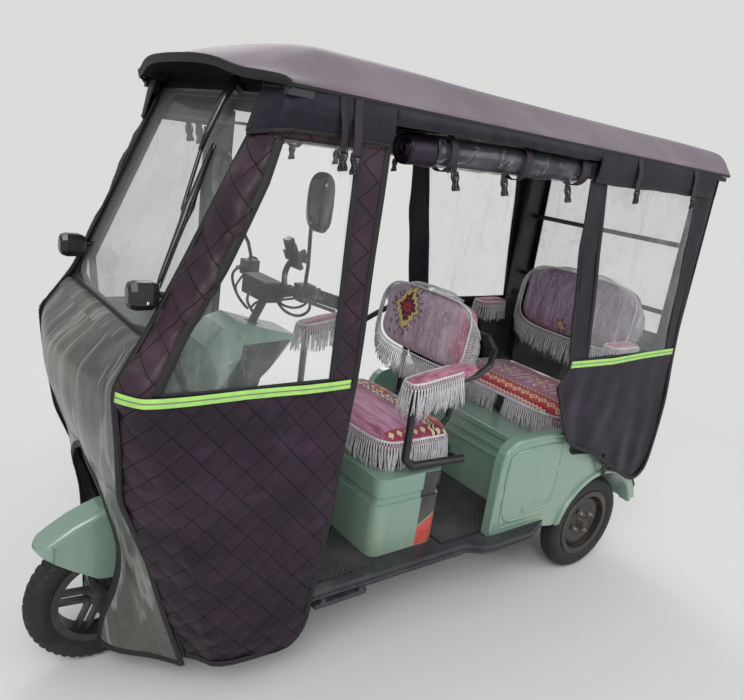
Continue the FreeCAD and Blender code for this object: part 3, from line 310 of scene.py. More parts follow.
# a quilt's squares stand on a corner, so their lines repeat over the diagonal
DIAGONAL = 1.41421
QUILT = 0.058


def leather(name, color, warm, quilt=0.0, rough=0.46, zigzag=False, dusty=0.07, foot=0.0):
    g = Graph(name)
    u, v = g.uv()
    cloud = g.noise(5, 5, 0.6)
    crease = g.noise(13, 5, 0.62, stretch=(1.0, 1.0, 0.45))
    grain = g.noise(520, 2, 0.5)
    height = grain * 0.08 + crease * 0.9
    shade = g.mix(cloud.soft(0.3, 0.75), color, warm)
    dust = g.noise(4, 7, 0.72).soft(0.55, 0.9)
    lighter_patches = g.noise(9, 5, 0.6, stretch=(0.6, 0.6, 1.3)).soft(0.48, 0.72)
    # lighter patches of the warm tone: a painted sheen
    shade = g.over(shade, (lighter_patches * 0.45, scaled(warm, 1.9, 0.004)),
                   ((1 - v.soft(0.15, 0.75)) * foot, scaled(color, 0.45)))
    if quilt:
        if zigzag:
            path = (v.wave(quilt * 1.5) * 0.055 + 0.015 - u).abs()
            stitch = 1 - path.soft(0.0006, 0.0030)
        else:
            a = (u + v).wave(quilt * DIAGONAL)
            b = (u - v).wave(quilt * DIAGONAL)
            dash = ((u * 2).wave(0.0056)).soft(0.2, 0.5) * 0.5 + 0.5
            stitch = a.high(b).soft(0.952, 0.992) * dash
        shade = g.mix(stitch * 0.60, shade, (0.002, 0.0015, 0.002))
        height = height - stitch * 1.2
    g.bump(height, 0.0034, 1.0)
    shade = g.mix(dust * dusty, shade, (0.20, 0.16, 0.19))
    return g.finish(shade, dust * 0.14 + crease * 0.10 + rough, Specular_IOR_Level=0.27)


def clear_sheet(name, tint=(0.70, 0.72, 0.72), haze=0.05, dirt=(0.42, 0.42, 0.38), streak=0.22, crease=0.16):
    # thin vinyl: mostly see-through, whiter where it is dusty, whiter along its creases, where that is partly
    # a painted highlight, and whiter where seen edge on, which is a painted reflection
    g = Graph(name)
    u, v = g.uv()
    place = g.join(u, v)
    dust = g.noise(5, 7, 0.7, vector=place)
    long = g.noise(22, 6, 0.65, vector=place, stretch=(1.0, 0.14, 1))
    slant = g.noise(11, 4, 0.6, vector=g.join(u * 0.8 + v * 0.5, v * 0.25 - u * 0.3))
    # whitened lines along the creases: partly a painted highlight
    crease_and_highlight = 1 - (slant - 0.5).abs().soft(0.0, 0.010)
    cloud = dust.soft(0.45, 0.8) * streak * 0.5 + long.soft(0.52, 0.74) * streak * 0.6
    # the facing term makes it whiter and less clear edge on: a painted reflection
    cover = (cloud + crease_and_highlight * crease * 0.5 + haze + g.facing(0.30) * 0.18).low(1.0)
    g.bump(long * 0.5 + slant * 1.2, 0.004, 0.7)
    shade = g.mix(crease_and_highlight * 0.5, dirt, (0.75, 0.77, 0.74))
    g.see_through()
    return g.finish(g.mix(cover, tint, shade), 0.16, Alpha=cover, Coat_Weight=0.6, Coat_Roughness=0.08)


def dusty_apron():
    # translucent beige vinyl, streaked with dust that runs down from the upper middle
    g = Graph("dusty_apron")
    u, v = g.uv()
    x, _, z = g.xyz()
    fan = g.join(u / (1.35 - v * 0.55), v * 0.22)
    streak = g.noise(13, 7, 0.66, vector=fan)
    fine = g.noise(55, 6, 0.7, vector=fan)
    cloud = g.noise(4, 6, 0.66)
    fold = g.noise(7, 4, 0.5, vector=fan)
    # pale lines along the folds: partly a painted highlight on them
    crease_and_highlight = 1 - (fold - 0.5).abs().soft(0.0, 0.035)
    centre = (1 - x.abs().soft(0.10, 0.34)) * z.soft(0.45, 0.95)
    shade = g.mix(streak.soft(0.34, 0.70), rgb(62, 62, 60), rgb(108, 108, 101))
    shade = g.over(shade,
                   (centre * 0.35, rgb(112, 111, 102)),
                   (fine.soft(0.55, 0.80) * 0.35, rgb(150, 148, 138)),
                   (cloud.soft(0.4, 0.72) * 0.72, rgb(44, 45, 45)),
                   ((1 - z.soft(0.12, 0.42)) * 0.45, rgb(84, 82, 76)),
                   (crease_and_highlight * 0.34, rgb(184, 184, 178)))
    g.bump(fold * 1.4 + streak * 0.3 + crease_and_highlight * 0.2, 0.006, 0.8)
    cover = (streak * 0.15 + 0.86).low(1.0)
    return g.finish(shade, 0.36, Alpha=cover, Coat_Weight=0.25, Coat_Roughness=0.2)


def glass():
    g = Graph("windshield_glass")
    z = g.xyz()[2]
    dust = g.noise(3, 6, 0.7)
    fine = g.noise(26, 6, 0.7, stretch=(1, 1, 0.4))
    low = 1 - z.soft(1.12, 1.32)
    # dust, a haze low down, and a greyer, less clear look where the glass is seen edge on, which is a painted
    # reflection
    cover = (dust.soft(0.4, 0.8) * 0.10 + fine.soft(0.5, 0.8) * 0.06 + low * 0.16 + 0.05
             + g.facing(0.3) * 0.3).low(1.0)
    g.see_through()
    return g.finish((0.34, 0.36, 0.35), 0.07, Alpha=cover, IOR=1.5, Coat_Weight=0.5, Coat_Roughness=0.03)


def webbing(name, color, lift):
    g = Graph(name)
    u, v = g.uv()
    weave = v.wave(0.0026) * 0.5 + u.wave(0.0034) * 0.5
    cloud = g.noise(18, 4, 0.6)
    g.bump(weave, 0.0006, 0.8)
    return g.finish(g.mix(cloud.soft(0.4, 0.8) * 0.5 + weave * 0.2, color, scaled(color, 1.9, lift)), 0.62)


def reflective():
    # two lime bands with a pale seam between them, on a dark tape
    g = Graph("reflective_tape")
    u, v = g.uv()
    middle = 1 - (v.abs()).soft(0.0015, 0.0026)
    border = v.abs().soft(0.0118, 0.0126)
    cloud = g.noise(30, 4, 0.6)
    beads = u.wave(0.0042).high(v.wave(0.0042)).soft(0.86, 0.99)
    lime = g.mix(cloud.soft(0.35, 0.75), rgb(166, 216, 104), rgb(146, 196, 112))
    shade = g.over(lime, (beads * 0.25, rgb(112, 156, 84)), (middle, rgb(112, 126, 92)),
                   (border, rgb(46, 40, 44)))
    g.bump(beads, 0.0004, 0.6)
    # the tape glows faintly in its own colour: painted light, the tape is no lamp
    return g.finish(shade, 0.34, Emission_Color=shade, Emission_Strength=0.12)


# Carpet covers: motifs drawn with distances in metres on the piece's own plane

def petals(g, x, y, size, count, deep=0.36):
    # 1 inside a rosette
    radius = (x * x + y * y).power(0.5)
    angle = g.calc("ARCTAN2", y, x)
    edge = ((angle * count).sin() * deep + (1 - deep)) * size
    return (edge - radius).soft(0.0, 0.0012)


def diamond(x, y, wide, tall):
    return (1 - x.abs() / wide - y.abs() / tall).soft(0.0, 0.10)


def cell(value, pitch, shift=0.0):
    # place inside a repeat, from minus half to half a pitch
    return ((value + shift) / pitch).fract() * pitch - pitch / 2


RED = rgb(172, 44, 58)
CREAM = rgb(226, 208, 170)
YELLOW = rgb(222, 204, 132)
MAROON = rgb(84, 24, 44)


def zigzag_line(across, height, pitch, size, fine, wide):
    # 1 on a thin zigzag line
    return 1 - (height - (across.wave(pitch) - 0.5) * size).abs().soft(fine, wide)


def bench_pattern(g, x, y, z):
    cloud = g.noise(6, 5, 0.6)
    lines = g.noise(60, 4, 0.6, stretch=(1, 0.08, 1))
    threads = g.noise(240, 3, 0.7, stretch=(1, 0.06, 1))
    field = g.mix(cloud.soft(0.35, 0.7), rgb(178, 104, 128), rgb(158, 112, 140))
    field = g.mix(threads.soft(0.50, 0.70) * 0.30, field, rgb(222, 196, 210))
    side = x.abs() - 0.305
    red = (y - 0.655).abs().less(0.044).high((y - 0.972).abs().less(0.038))
    red = red.high(side.abs().less(0.030) * y.more(0.61))
    shade = g.mix(red, field, g.mix(cloud, rgb(168, 34, 50), rgb(196, 62, 66)))
    # rows of lozenges, hooks and dots in the red bands
    pitch = 0.046
    for line in (0.655, 0.972):
        cx = cell(x, pitch)
        cy = y - line
        lozenge = diamond(cx, cy, 0.020, 0.024) - diamond(cx, cy, 0.012, 0.014)
        shade = g.over(shade, (lozenge.high(0) * 0.95, CREAM), (diamond(cx, cy, 0.006, 0.007) * 0.9, YELLOW),
                       (diamond(cell(x, pitch, pitch / 2), cy, 0.008, 0.018) * 0.9, rgb(214, 150, 120)))
    knots = diamond(side, cell(y, 0.040), 0.018, 0.016) - diamond(side, cell(y, 0.040), 0.008, 0.007)
    shade = g.mix(knots.high(0) * y.more(0.70) * y.less(0.93) * 0.9, shade, CREAM)
    # zigzag lines beside each band
    for line, color in ((0.608, CREAM), (0.619, MAROON), (0.691, MAROON), (0.703, CREAM), (0.714, RED),
                        (0.922, CREAM), (0.933, MAROON), (1.008, CREAM)):
        shade = g.mix(zigzag_line(x, y - line, 0.020, 0.010, 0.0016, 0.0034) * 0.95, shade, color)
    # eight-petal flowers, combs and small crosses in the field
    fx = cell(x, 0.190, 0.035)
    fy = y - 0.815
    flower = petals(g, fx, fy, 0.068, 8, 0.34)
    gx = cell(x, 0.190, 0.130)
    comb = gx.abs().less(0.026) * fy.abs().less(0.066) * (fy / 0.017).fract().less(0.40)
    small = petals(g, cell(x, 0.050, 0.01), cell(y, 0.052, 0.012), 0.008, 4)
    return g.over(shade,
                  (flower * 0.9, rgb(240, 216, 204)),
                  (petals(g, fx, fy, 0.044, 8, 0.34) * 0.9, rgb(176, 60, 84)),
                  (petals(g, fx, fy, 0.021, 8, 0.3) * 0.95, CREAM),
                  (comb * 0.9, rgb(244, 222, 212)),
                  (gx.abs().less(0.005) * fy.abs().less(0.070), rgb(170, 40, 60)),
                  (small * (1 - red) * (1 - flower) * (1 - comb) * 0.6, rgb(140, 36, 62)),
                  (y.less(0.600), g.mix(lines, rgb(158, 132, 150), rgb(186, 164, 176))))


def driver_pattern(g, x, y, z):
    streaks = g.noise(42, 5, 0.65, stretch=(0.10, 1, 1))
    threads = g.noise(240, 3, 0.7, stretch=(0.05, 1, 1))
    field = g.mix(streaks.soft(0.3, 0.7), rgb(144, 62, 102), rgb(196, 140, 170))
    # a dark motif band over the rear half with cream running shapes
    band = y.more(0.012)
    cy = y - 0.072
    core = diamond(cell(x, 0.150, 0.02), cy, 0.060, 0.044)
    lozenge = diamond(cell(x, 0.048), cell(y, 0.030), 0.013, 0.011)
    shade = g.over(field,
                   (threads.soft(0.50, 0.70) * 0.45, rgb(232, 206, 218)),
                   (band, MAROON),
                   (core * 0.95, RED),
                   (lozenge * (1 - core) * band * 0.9, CREAM),
                   (petals(g, cell(x, 0.150, 0.02), cy, 0.018, 6) * 0.95, rgb(232, 170, 96)))
    for line, color in ((0.016, CREAM), (0.034, CREAM), (0.002, rgb(90, 30, 54))):
        shade = g.mix(zigzag_line(x, y - line, 0.030, 0.013, 0.0018, 0.0042), shade, color)
    side = x.abs() - 0.252
    edge = side.abs().less(0.020) * y.less(0.012) * y.more(-0.17)
    tick = diamond(cell(y, 0.034), side, 0.012, 0.014)
    return g.over(shade, (edge * 0.85, rgb(150, 40, 66)), (tick * edge * 0.9, CREAM))


def driver_back_pattern(g, x, y, z):
    streaks = g.noise(46, 5, 0.65, stretch=(1, 1, 0.09))
    threads = g.noise(260, 3, 0.7, stretch=(1, 1, 0.06))
    field = g.mix(streaks.soft(0.3, 0.7), rgb(152, 124, 146), rgb(194, 174, 188))
    red = x.soft(0.14, 0.235) * 0.62
    shade = g.over(field, (threads.soft(0.50, 0.68) * 0.65, rgb(230, 218, 226)),
                   (red * (1 - threads.soft(0.52, 0.7) * 0.6), rgb(164, 66, 92)))
    # a medallion of nested lozenges on the front, with a ring of dots
    front_face = (y - 0.108 - (z - 0.885) * 0.1228).less(0.034)
    mx = x + 0.088
    mz = z - 1.050
    angle = g.calc("ARCTAN2", mz, mx)
    scallop = (angle * 12).sin() * 0.065
    wander = (g.noise(50, 2, 0.5) - 0.5) * 0.42
    reach = mx.abs() / 0.074 + mz.abs() / 0.092 + scallop + wander
    reach = reach + (1 - front_face) * 9
    dots = (angle * 20).sin().soft(0.1, 0.5) * reach.more(1.10) * reach.less(1.34)
    shade = g.mix(dots * 0.85, shade, rgb(88, 54, 84))
    for limit, color in ((1.03, rgb(100, 46, 68)), (0.95, rgb(216, 198, 130)), (0.66, MAROON), (0.30, RED),
                         (0.13, MAROON)):
        shade = g.mix(1 - reach.soft(limit - 0.03, limit), shade, color)
    spots = petals(g, cell(x, 0.017), cell(z, 0.021), 0.0070, 4)
    # a short trail of small dark marks along the outer edge under the medallion
    trail = petals(g, cell(x, 0.036), cell(z, 0.040), 0.012, 5)
    zone = (1 - (x + 0.150).abs().soft(0.03, 0.06)) * (1 - z.soft(0.98, 1.01)) * front_face
    return g.over(shade, (spots * reach.less(0.62) * 0.8, rgb(190, 78, 84)),
                  (trail * zone * 0.8, rgb(86, 52, 78)))


def bench_back_pattern(g, x, y, z):
    streaks = g.noise(52, 5, 0.68, stretch=(1, 1, 0.07))
    threads = g.noise(280, 3, 0.7, stretch=(1, 1, 0.05))
    field = g.mix(streaks.soft(0.28, 0.72), rgb(104, 82, 110), rgb(168, 148, 170))
    mx = x + 0.036
    mz = z - 0.957
    trail = petals(g, cell(x, 0.044), cell(z, 0.030), 0.009, 5)
    zone = (1 - (z - 0.935).abs().soft(0.012, 0.03)) * (1 - mx.abs().soft(0.08, 0.14))
    return g.over(field,
                  (threads.soft(0.50, 0.68) * 0.55, rgb(206, 194, 208)),
                  ((1 - z.soft(0.93, 1.04)) * 0.35, rgb(146, 76, 104)),
                  (petals(g, mx, mz, 0.036, 6, 0.30) * 0.8, rgb(92, 40, 66)),
                  (petals(g, mx, mz, 0.020, 8, 0.30) * 0.95, YELLOW),
                  (petals(g, mx, mz, 0.009, 4, 0.30) * 0.95, rgb(150, 40, 60)),
                  (trail * zone * 0.85, rgb(214, 196, 190)))


def pad_pattern(g, x, y, z):
    streaks = g.noise(60, 5, 0.65, stretch=(1, 0.3, 1))
    shade = g.mix(streaks.soft(0.3, 0.7), rgb(140, 62, 92), rgb(190, 132, 156))
    spots = petals(g, cell(x, 0.046, 0.02), cell(y, 0.046), 0.010, 6)
    return g.mix(spots * 0.5, shade, rgb(120, 36, 60))


def carpet(name, pattern):
    g = Graph(name)
    x, y, z = g.xyz()
    pile = g.noise(900, 2, 0.6)
    cloud = g.noise(6, 5, 0.6)
    shade = pattern(g, x, y, z)
    lighter_patches = g.noise(20, 5, 0.7).soft(0.5, 0.8)
    g.bump(pile * 0.6 + cloud * 0.8, 0.0016, 0.7)
    return g.finish(g.mix(lighter_patches * 0.15, shade, rgb(206, 190, 196)), 0.85,
                    Sheen_Weight=0.5, Sheen_Roughness=0.35)


def yarn():
    g = Graph("fringe_yarn")
    u, v = g.uv()
    twist = (v + u * 0.012).wave(0.006)
    cloud = g.noise(14, 5, 0.6)
    tone = g.mix(cloud.soft(0.3, 0.75), rgb(228, 227, 229), rgb(192, 191, 196))
    g.bump(twist, 0.0009, 0.8)
    return g.finish(g.mix(twist * 0.16, tone, rgb(134, 131, 134)), 0.8, Sheen_Weight=0.2)


MATS = {
    "mint": paint("mint_paint"),
    "cowl": paint("cowl_paint", inner_panel=True),
    "black_steel": dark_metal("black_steel"),
    "dark_steel": dark_metal("dark_steel", (0.06, 0.055, 0.05), 0.6, (0.2, 0.16, 0.12), 0.7),
    "brown_steel": dark_metal("brown_steel", rgb(50, 44, 42), 0.46, rgb(124, 112, 100), 0.7),
    "black_alloy": dark_metal("black_alloy", (0.02, 0.02, 0.022), 0.42, (0.16, 0.15, 0.13), 0.4),
    "plastic": plastic("black_plastic"),
    "gloss_plastic": plastic("gloss_black_plastic", (0.012, 0.012, 0.014), 0.16, (0.1, 0.1, 0.1), 0.2),
    "gloss_black": plastic("mirror_black", (0.006, 0.006, 0.008), 0.06, (0.05, 0.05, 0.05), 0.08, 90),
    "battery": plastic("battery_case", (0.09, 0.09, 0.10), 0.5),
    "rubber": rubber("black_rubber"),
    "tyre": rubber("tyre_rubber"),
    "mat": mat_rubber(),
    "floor_edge": plastic("floor_plastic", (0.020, 0.022, 0.028), 0.42, (0.13, 0.13, 0.128), 0.45),
    "dark_plastic": plastic("dark_plastic", (0.009, 0.009, 0.011), 0.38, (0.08, 0.08, 0.08), 0.15),
    "quilt": leather("quilted_leather", rgb(30, 18, 33), rgb(48, 29, 45), QUILT, rough=0.36, foot=0.55),
    "strip_quilt": leather("strip_leather", rgb(36, 23, 36), rgb(54, 35, 50), QUILT, zigzag=True),
    "front_strip": leather("front_strip_leather", rgb(43, 28, 38), rgb(64, 46, 56), 0.070, rough=0.40),
    "leather": leather("plain_leather", rgb(18, 10, 24), rgb(34, 22, 40), rough=0.36),
    "valance": leather("valance_leather", rgb(16, 14, 25), rgb(32, 28, 40), rough=0.40),
    "lining": leather("roof_lining", rgb(30, 29, 34), rgb(40, 38, 44), rough=0.7),
    "binding": webbing("curtain_binding", (0.0040, 0.0038, 0.0055), 0.002),
    "strap": webbing("brown_strap", rgb(38, 28, 36), 0.004),
    "black_strap": webbing("black_strap", (0.006, 0.006, 0.008), 0.003),
    "window": clear_sheet("clear_window", haze=0.03, streak=0.15, crease=0.09),
    "back": clear_sheet("back_window", haze=0.12, dirt=(0.36, 0.38, 0.38), streak=0.25, crease=0.12),
    # on the rolled vinyl the whitened creases stand in for its crisp highlights: painted highlights
    "roll": clear_sheet("rolled_vinyl", (0.14, 0.145, 0.17), 0.08, (0.165, 0.175, 0.20), 0.80, 0.7),
    "apron": dusty_apron(),
    "glass": glass(),
    "tape": reflective(),
    "yarn": yarn(),
    "chrome": dark_metal("bright_metal", (0.62, 0.62, 0.60), 0.22, (0.4, 0.38, 0.34), 0.3, 1.0),
    "mirror": dark_metal("mirror_face", (0.75, 0.77, 0.78), 0.05, (0.5, 0.5, 0.48), 0.15, 1.0),
    "rust": dark_metal("worn_nut", rgb(150, 146, 140), 0.36, rgb(110, 84, 64), 0.6, 0.7),
    "bench": carpet("bench_carpet", bench_pattern),
    "driver": carpet("driver_carpet", driver_pattern),
    "driver_back": carpet("driver_back_carpet", driver_back_pattern),
    "bench_back": carpet("bench_back_carpet", bench_back_pattern),
    "pad": carpet("pad_carpet", pad_pattern),
}


def seat_box_paint():
    # the mint paint with a black band and a red slanted field near the rear of each side
    g = Graph("seat_box_paint")
    x, y, z = g.xyz()
    cloud = g.noise(3.2, 5, 0.6)
    share = road_dirt(g, z, (0.32, 0.55), 0.22, 0.32, (0.64, 0.76))
    tint = g.mix(cloud, scaled(MINT, 0.93), scaled(MINT, 1.05))
    side = x.abs().more(0.328)
    span = y.more(-0.052) * y.less(0.022) * side
    cut = (z - 0.400) - (y + 0.050) * 0.58
    black = span * cut.more(0.0) * z.less(0.5985)
    red = span * cut.less(-0.006) * z.more(0.322)
    shade = g.over(tint, (black, (0.014, 0.014, 0.017)), (red, rgb(196, 34, 42)), (share, ROAD_DUST))
    g.bump(g.noise(140, 2, 0.5), 0.0004, 0.25)
    return g.finish(shade, share * 0.5 + 0.32, Coat_Weight=0.5, Coat_Roughness=0.18)


def roof_vinyl():
    g = Graph("roof_vinyl")
    cloud = g.noise(2.4, 6, 0.6)
    fine = g.noise(420, 2, 0.6)
    dust = g.noise(5, 7, 0.72)
    fold = g.noise(6, 3, 0.5, stretch=(1, 0.25, 1))
    shade = g.mix(cloud.soft(0.3, 0.75), rgb(98, 84, 95), rgb(122, 107, 117))
    shade = g.mix(dust.soft(0.5, 0.8) * 0.4, shade, rgb(150, 138, 146))
    g.bump(fine * 0.12 + fold * 0.8, 0.002, 0.6)
    return g.finish(shade, 0.55, Sheen_Weight=0.1)


def red_lens():
    g = Graph("red_lens")
    g.bump(g.noise(40, 1, 0.5), 0.001, 0.4)
    cloud = g.noise(30, 3).soft(0.3, 0.8)
    return g.finish(g.mix(cloud, rgb(150, 16, 18), rgb(190, 40, 32)), 0.14, Coat_Weight=0.6)


MATS["seat_box"] = seat_box_paint()
MATS["roof"] = roof_vinyl()
MATS["red_lens"] = red_lens()


# Mesh building

def mirrored(verts, faces):
    return verts * (-1, 1, 1), [face[::-1] for face in faces]


class Build:
    def __init__(self):
        self.verts = []
        self.faces = []
        self.uvs = []
        self.count = 0

    def add(self, verts, faces, uvs=None):
        verts = np.asarray(verts, float).reshape(-1, 3)
        if uvs is None:
            uvs = np.zeros((len(verts), 2))
        self.verts.append(verts)
        self.uvs.append(np.asarray(uvs, float).reshape(-1, 2))
        self.faces.extend([tuple(int(i) + self.count for i in face) for face in faces])
        self.count += len(verts)

    def take(self, other, flip=False):
        verts = np.concatenate(other.verts)
        faces = other.faces
        if flip:
            verts, faces = mirrored(verts, faces)
        self.add(verts, faces, np.concatenate(other.uvs))

    def piece(self, name, material, body="body", flip=False, thick=0.0, weld=False, smooth=True):
        verts = np.concatenate(self.verts)
        uvs = np.concatenate(self.uvs)
        faces = self.faces
        if flip:
            verts, faces = mirrored(verts, faces)
        mesh = bpy.data.meshes.new(name)
        mesh.from_pydata(verts.tolist(), [], faces)
        mesh.update()
        layer = mesh.uv_layers.new(name="UVMap")
        index = np.empty(len(mesh.loops), int)
        mesh.loops.foreach_get("vertex_index", index)
        layer.data.foreach_set("uv", uvs[index].astype(np.float32).ravel())
        if smooth:
            mesh.shade_smooth()
        mesh.materials.append(MATS[material])
        obj = bpy.data.objects.new(name, mesh)
        bpy.context.collection.objects.link(obj)
        if weld:
            join = obj.modifiers.new("Join", "WELD")
            join.merge_threshold = 0.0002
        if thick:
            skin = obj.modifiers.new("Skin", "SOLIDIFY")
            skin.thickness = thick
            skin.offset = -1
            skin.use_even_offset = False
        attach(obj, body)
        return obj


def grid_faces(rows, columns, wrap=False, turned=False):
    faces = []
    last = columns if wrap else columns - 1
    for i in range(rows - 1):
        for j in range(last):
            k = (j + 1) % columns
            faces.append((i * columns + j, i * columns + k, (i + 1) * columns + k, (i + 1) * columns + j))
    return [face[::-1] for face in faces] if turned else faces


def rod_faces(rows, sides):
    # rings joined one to the next, closed at both ends
    last = (rows - 1) * sides
    return grid_faces(rows, sides, True) + [tuple(range(sides))[::-1], tuple(last + i for i in range(sides))]


def circle(count):
    return np.linspace(0, math.tau, count, endpoint=False)


def run_of(points):
    # how far each point is along its line
    return np.concatenate([[0], np.cumsum(np.linalg.norm(np.diff(points, axis=0), axis=1))])


def waves(u, v, seed, size, count=6):
    # an even, repeatable ripple over a sheet, about -1 to 1
    rng = np.random.default_rng(seed)
    total = np.zeros(np.broadcast(u, v).shape)
    for k in range(count):
        angle = rng.uniform(0, math.tau)
        step = size * rng.uniform(0.55, 1.8)
        across = u * math.cos(angle) + v * math.sin(angle)
        total = total + np.sin(across * math.tau / step + rng.uniform(0, 6.28))
    return total / count * 1.5


def unit(vectors):
    length = np.linalg.norm(vectors, axis=-1, keepdims=True)
    return vectors / np.maximum(length, 1e-9)


def chaikin(points, rounds):
    points = np.asarray(points, float)
    for _ in range(rounds):
        first = points[:-1] * 0.75 + points[1:] * 0.25
        second = points[:-1] * 0.25 + points[1:] * 0.75
        inner = np.stack([first, second], 1).reshape(-1, points.shape[1])
        points = np.concatenate([points[:1], inner[1:-1], points[-1:]])
    return points


def even(points, count):
    points = np.asarray(points, float)
    run = run_of(points)
    at = np.linspace(0, run[-1], count)
    return np.stack([np.interp(at, run, points[:, k]) for k in range(points.shape[1])], 1), run[-1]


def along(points, spacing):
    points = np.asarray(points, float)
    length = np.linalg.norm(np.diff(points, axis=0), axis=1).sum()
    return even(points, max(2, int(round(length / spacing)) + 1))[0]


def sweep(build, points, normals, width, thick):
    # a flat band with rounded edges along a line; normals point out of its face
    points = np.asarray(points, float)
    normals = unit(np.broadcast_to(np.asarray(normals, float), points.shape))
    run = unit(np.gradient(points, axis=0))
    side = unit(np.cross(normals, run))
    normals = unit(np.cross(run, side))
    w, t = width / 2, thick / 2
    ring = [(-w, 0.35), (-w * 0.9, 1), (0, 1), (w * 0.9, 1), (w, 0.35), (w, -0.35), (w * 0.9, -1), (0, -1),
            (-w * 0.9, -1), (-w, -0.35)]
    rows = []
    uvs = []
    length = run_of(points)
    for a, b in ring:
        rows.append(points + side * a + normals * (b * t))
        uvs.append(np.stack([length, np.full(len(points), a)], 1))
    verts = np.stack(rows, 1).reshape(-1, 3)
    uvs = np.stack(uvs, 1).reshape(-1, 2)
    build.add(verts, rod_faces(len(points), len(ring)), uvs)


def tube(build, points, radius, sides=8, taper=1.0):
    points = np.asarray(points, float)
    run = unit(np.gradient(points, axis=0))
    guide = np.array([0.0, 0.0, 1.0]) if abs(run[0][2]) < 0.9 else np.array([1.0, 0.0, 0.0])
    side = unit(np.cross(run, guide))
    up = np.cross(side, run)
    size = np.linspace(1, taper, len(points))[:, None] * radius
    verts = []
    for k in range(sides):
        a = math.tau * k / sides
        verts.append(points + side * size * math.cos(a) + up * size * math.sin(a))
    build.add(np.stack(verts, 1), rod_faces(len(points), sides))


# Hanging sheets, each a smooth surface of (t, height), t from 0 at one edge to 1 at the other

class Drop:
    step = 0.004

    def __init__(self, heights, lines, rounds=2, soft=0.018, count=121):
        order = np.argsort(heights)
        heights = np.asarray(heights, float)[order]
        lines = np.asarray(lines, float)[order]
        self.z = np.arange(heights[0], heights[-1] + 0.0001, self.step)
        flat = lines.reshape(len(heights), -1)
        dense = np.stack([np.interp(self.z, heights, flat[:, k]) for k in range(flat.shape[1])], 1)
        reach = int(soft * 3 / self.step)
        kernel = np.exp(-0.5 * (np.arange(-reach, reach + 1) * self.step / soft) ** 2)
        kernel /= kernel.sum()
        # past both ends the lines go on the way they came
        padded = np.pad(dense, ((reach, reach), (0, 0)), mode="edge")
        padded[:reach] = 2 * padded[reach] - padded[2 * reach:reach:-1]
        padded[-reach:] = 2 * padded[-reach - 1] - padded[-reach - 2:-2 * reach - 2:-1]
        dense = np.stack([np.convolve(padded[:, k], kernel, "valid") for k in range(dense.shape[1])], 1)
        lines = [even(chaikin(line, rounds), count) for line in dense.reshape(len(self.z), -1, 2)]
        self.rows = np.array([points for points, _ in lines])
        self.long = np.array([length for _, length in lines])
        self.count = count

    def at(self, t, z):
        t = np.clip(np.asarray(t, float), 0, 1) * (self.count - 1)
        z = np.asarray(z, float)
        k = np.clip((z - self.z[0]) / self.step, 0, len(self.z) - 1.001)
        i = k.astype(int)
        j = np.clip(t.astype(int), 0, self.count - 2)
        a = (k - i)[..., None]
        b = (t - j)[..., None]
        first = self.rows[i, j] * (1 - b) + self.rows[i, j + 1] * b
        second = self.rows[i + 1, j] * (1 - b) + self.rows[i + 1, j + 1] * b
        xy = first * (1 - a) + second * a
        return np.concatenate([xy, z[..., None]], -1)

    def normal(self, t, z):
        e = 0.012
        across = self.at(np.asarray(t) + e, z) - self.at(np.asarray(t) - e, z)
        up = self.at(t, np.asarray(z) + 0.006) - self.at(t, np.asarray(z) - 0.006)
        return unit(np.cross(up, across))

    def length(self, z):
        return np.interp(z, self.z, self.long)

    def find(self, y, z):
        # t of the point at that place along the vehicle, on the side that faces out
        t = np.linspace(0, 1, 400)
        points = self.at(t, np.full(400, float(z)))
        first = int(np.argmin(points[:, 1]))
        side = points[:first + 1, 1]
        return float(np.interp(-y, -side, t[:first + 1]))


def patch(drop, rows, step=0.009, lift=0.0, dent=None):
    # rows are (height, t at one end, t at the other)
    rows = sorted(rows)
    heights = np.array([r[0] for r in rows])
    z = np.linspace(heights[0], heights[-1], max(3, int((heights[-1] - heights[0]) / step)))
    a = np.interp(z, heights, [r[1] for r in rows])
    b = np.interp(z, heights, [r[2] for r in rows])
    widest = float(np.max((b - a) * drop.length(z)))
    n = max(4, int(widest / step))
    q = np.linspace(0, 1, n)
    t = a[:, None] + (b - a)[:, None] * q
    zz = np.repeat(z[:, None], n, 1)
    s = t * drop.length(z)[:, None]
    points = drop.at(t, zz)
    out = np.zeros_like(s) + lift
    if dent:
        out = out + dent(s, zz)
    points = points + drop.normal(t, zz) * out[..., None]
    build = Build()
    build.add(points, grid_faces(len(z), n, turned=True), np.stack([s, zz], -1))
    return build


def line_on(drop, path, spacing=0.012, lift=0.0, dent=None):
    # a dense line over (t, height) points with its outward normals; a sheet is about 0.6 m long
    flat_path = np.asarray(path, float) * (0.6, 1.0)
    count = max(3, int(np.linalg.norm(np.diff(flat_path, axis=0), axis=1).sum() / spacing))
    t, z = (even(flat_path, count)[0] / (0.6, 1.0)).T
    out = drop.normal(t, z)
    raise_by = np.full(len(t), lift)
    if dent:
        raise_by = raise_by + dent(t * drop.length(z), z)
    return drop.at(t, z) + out * raise_by[:, None], out


def trim(build, drop, path, width, thick, spacing=0.012, lift=0.0, dent=None):
    # a band of cloth sewn along a path on a sheet
    points, out = line_on(drop, path, spacing, lift, dent)
    sweep(build, points, out, width, thick)


# sheet thicknesses, and the reflective tape's width and thickness
CLOTH = 0.0025
THIN_CLOTH = 0.0022
CLEAR = 0.0008
TAPE = (0.0255, 0.0012)


SHEET_X = 0.446
SCREEN_X = 0.360
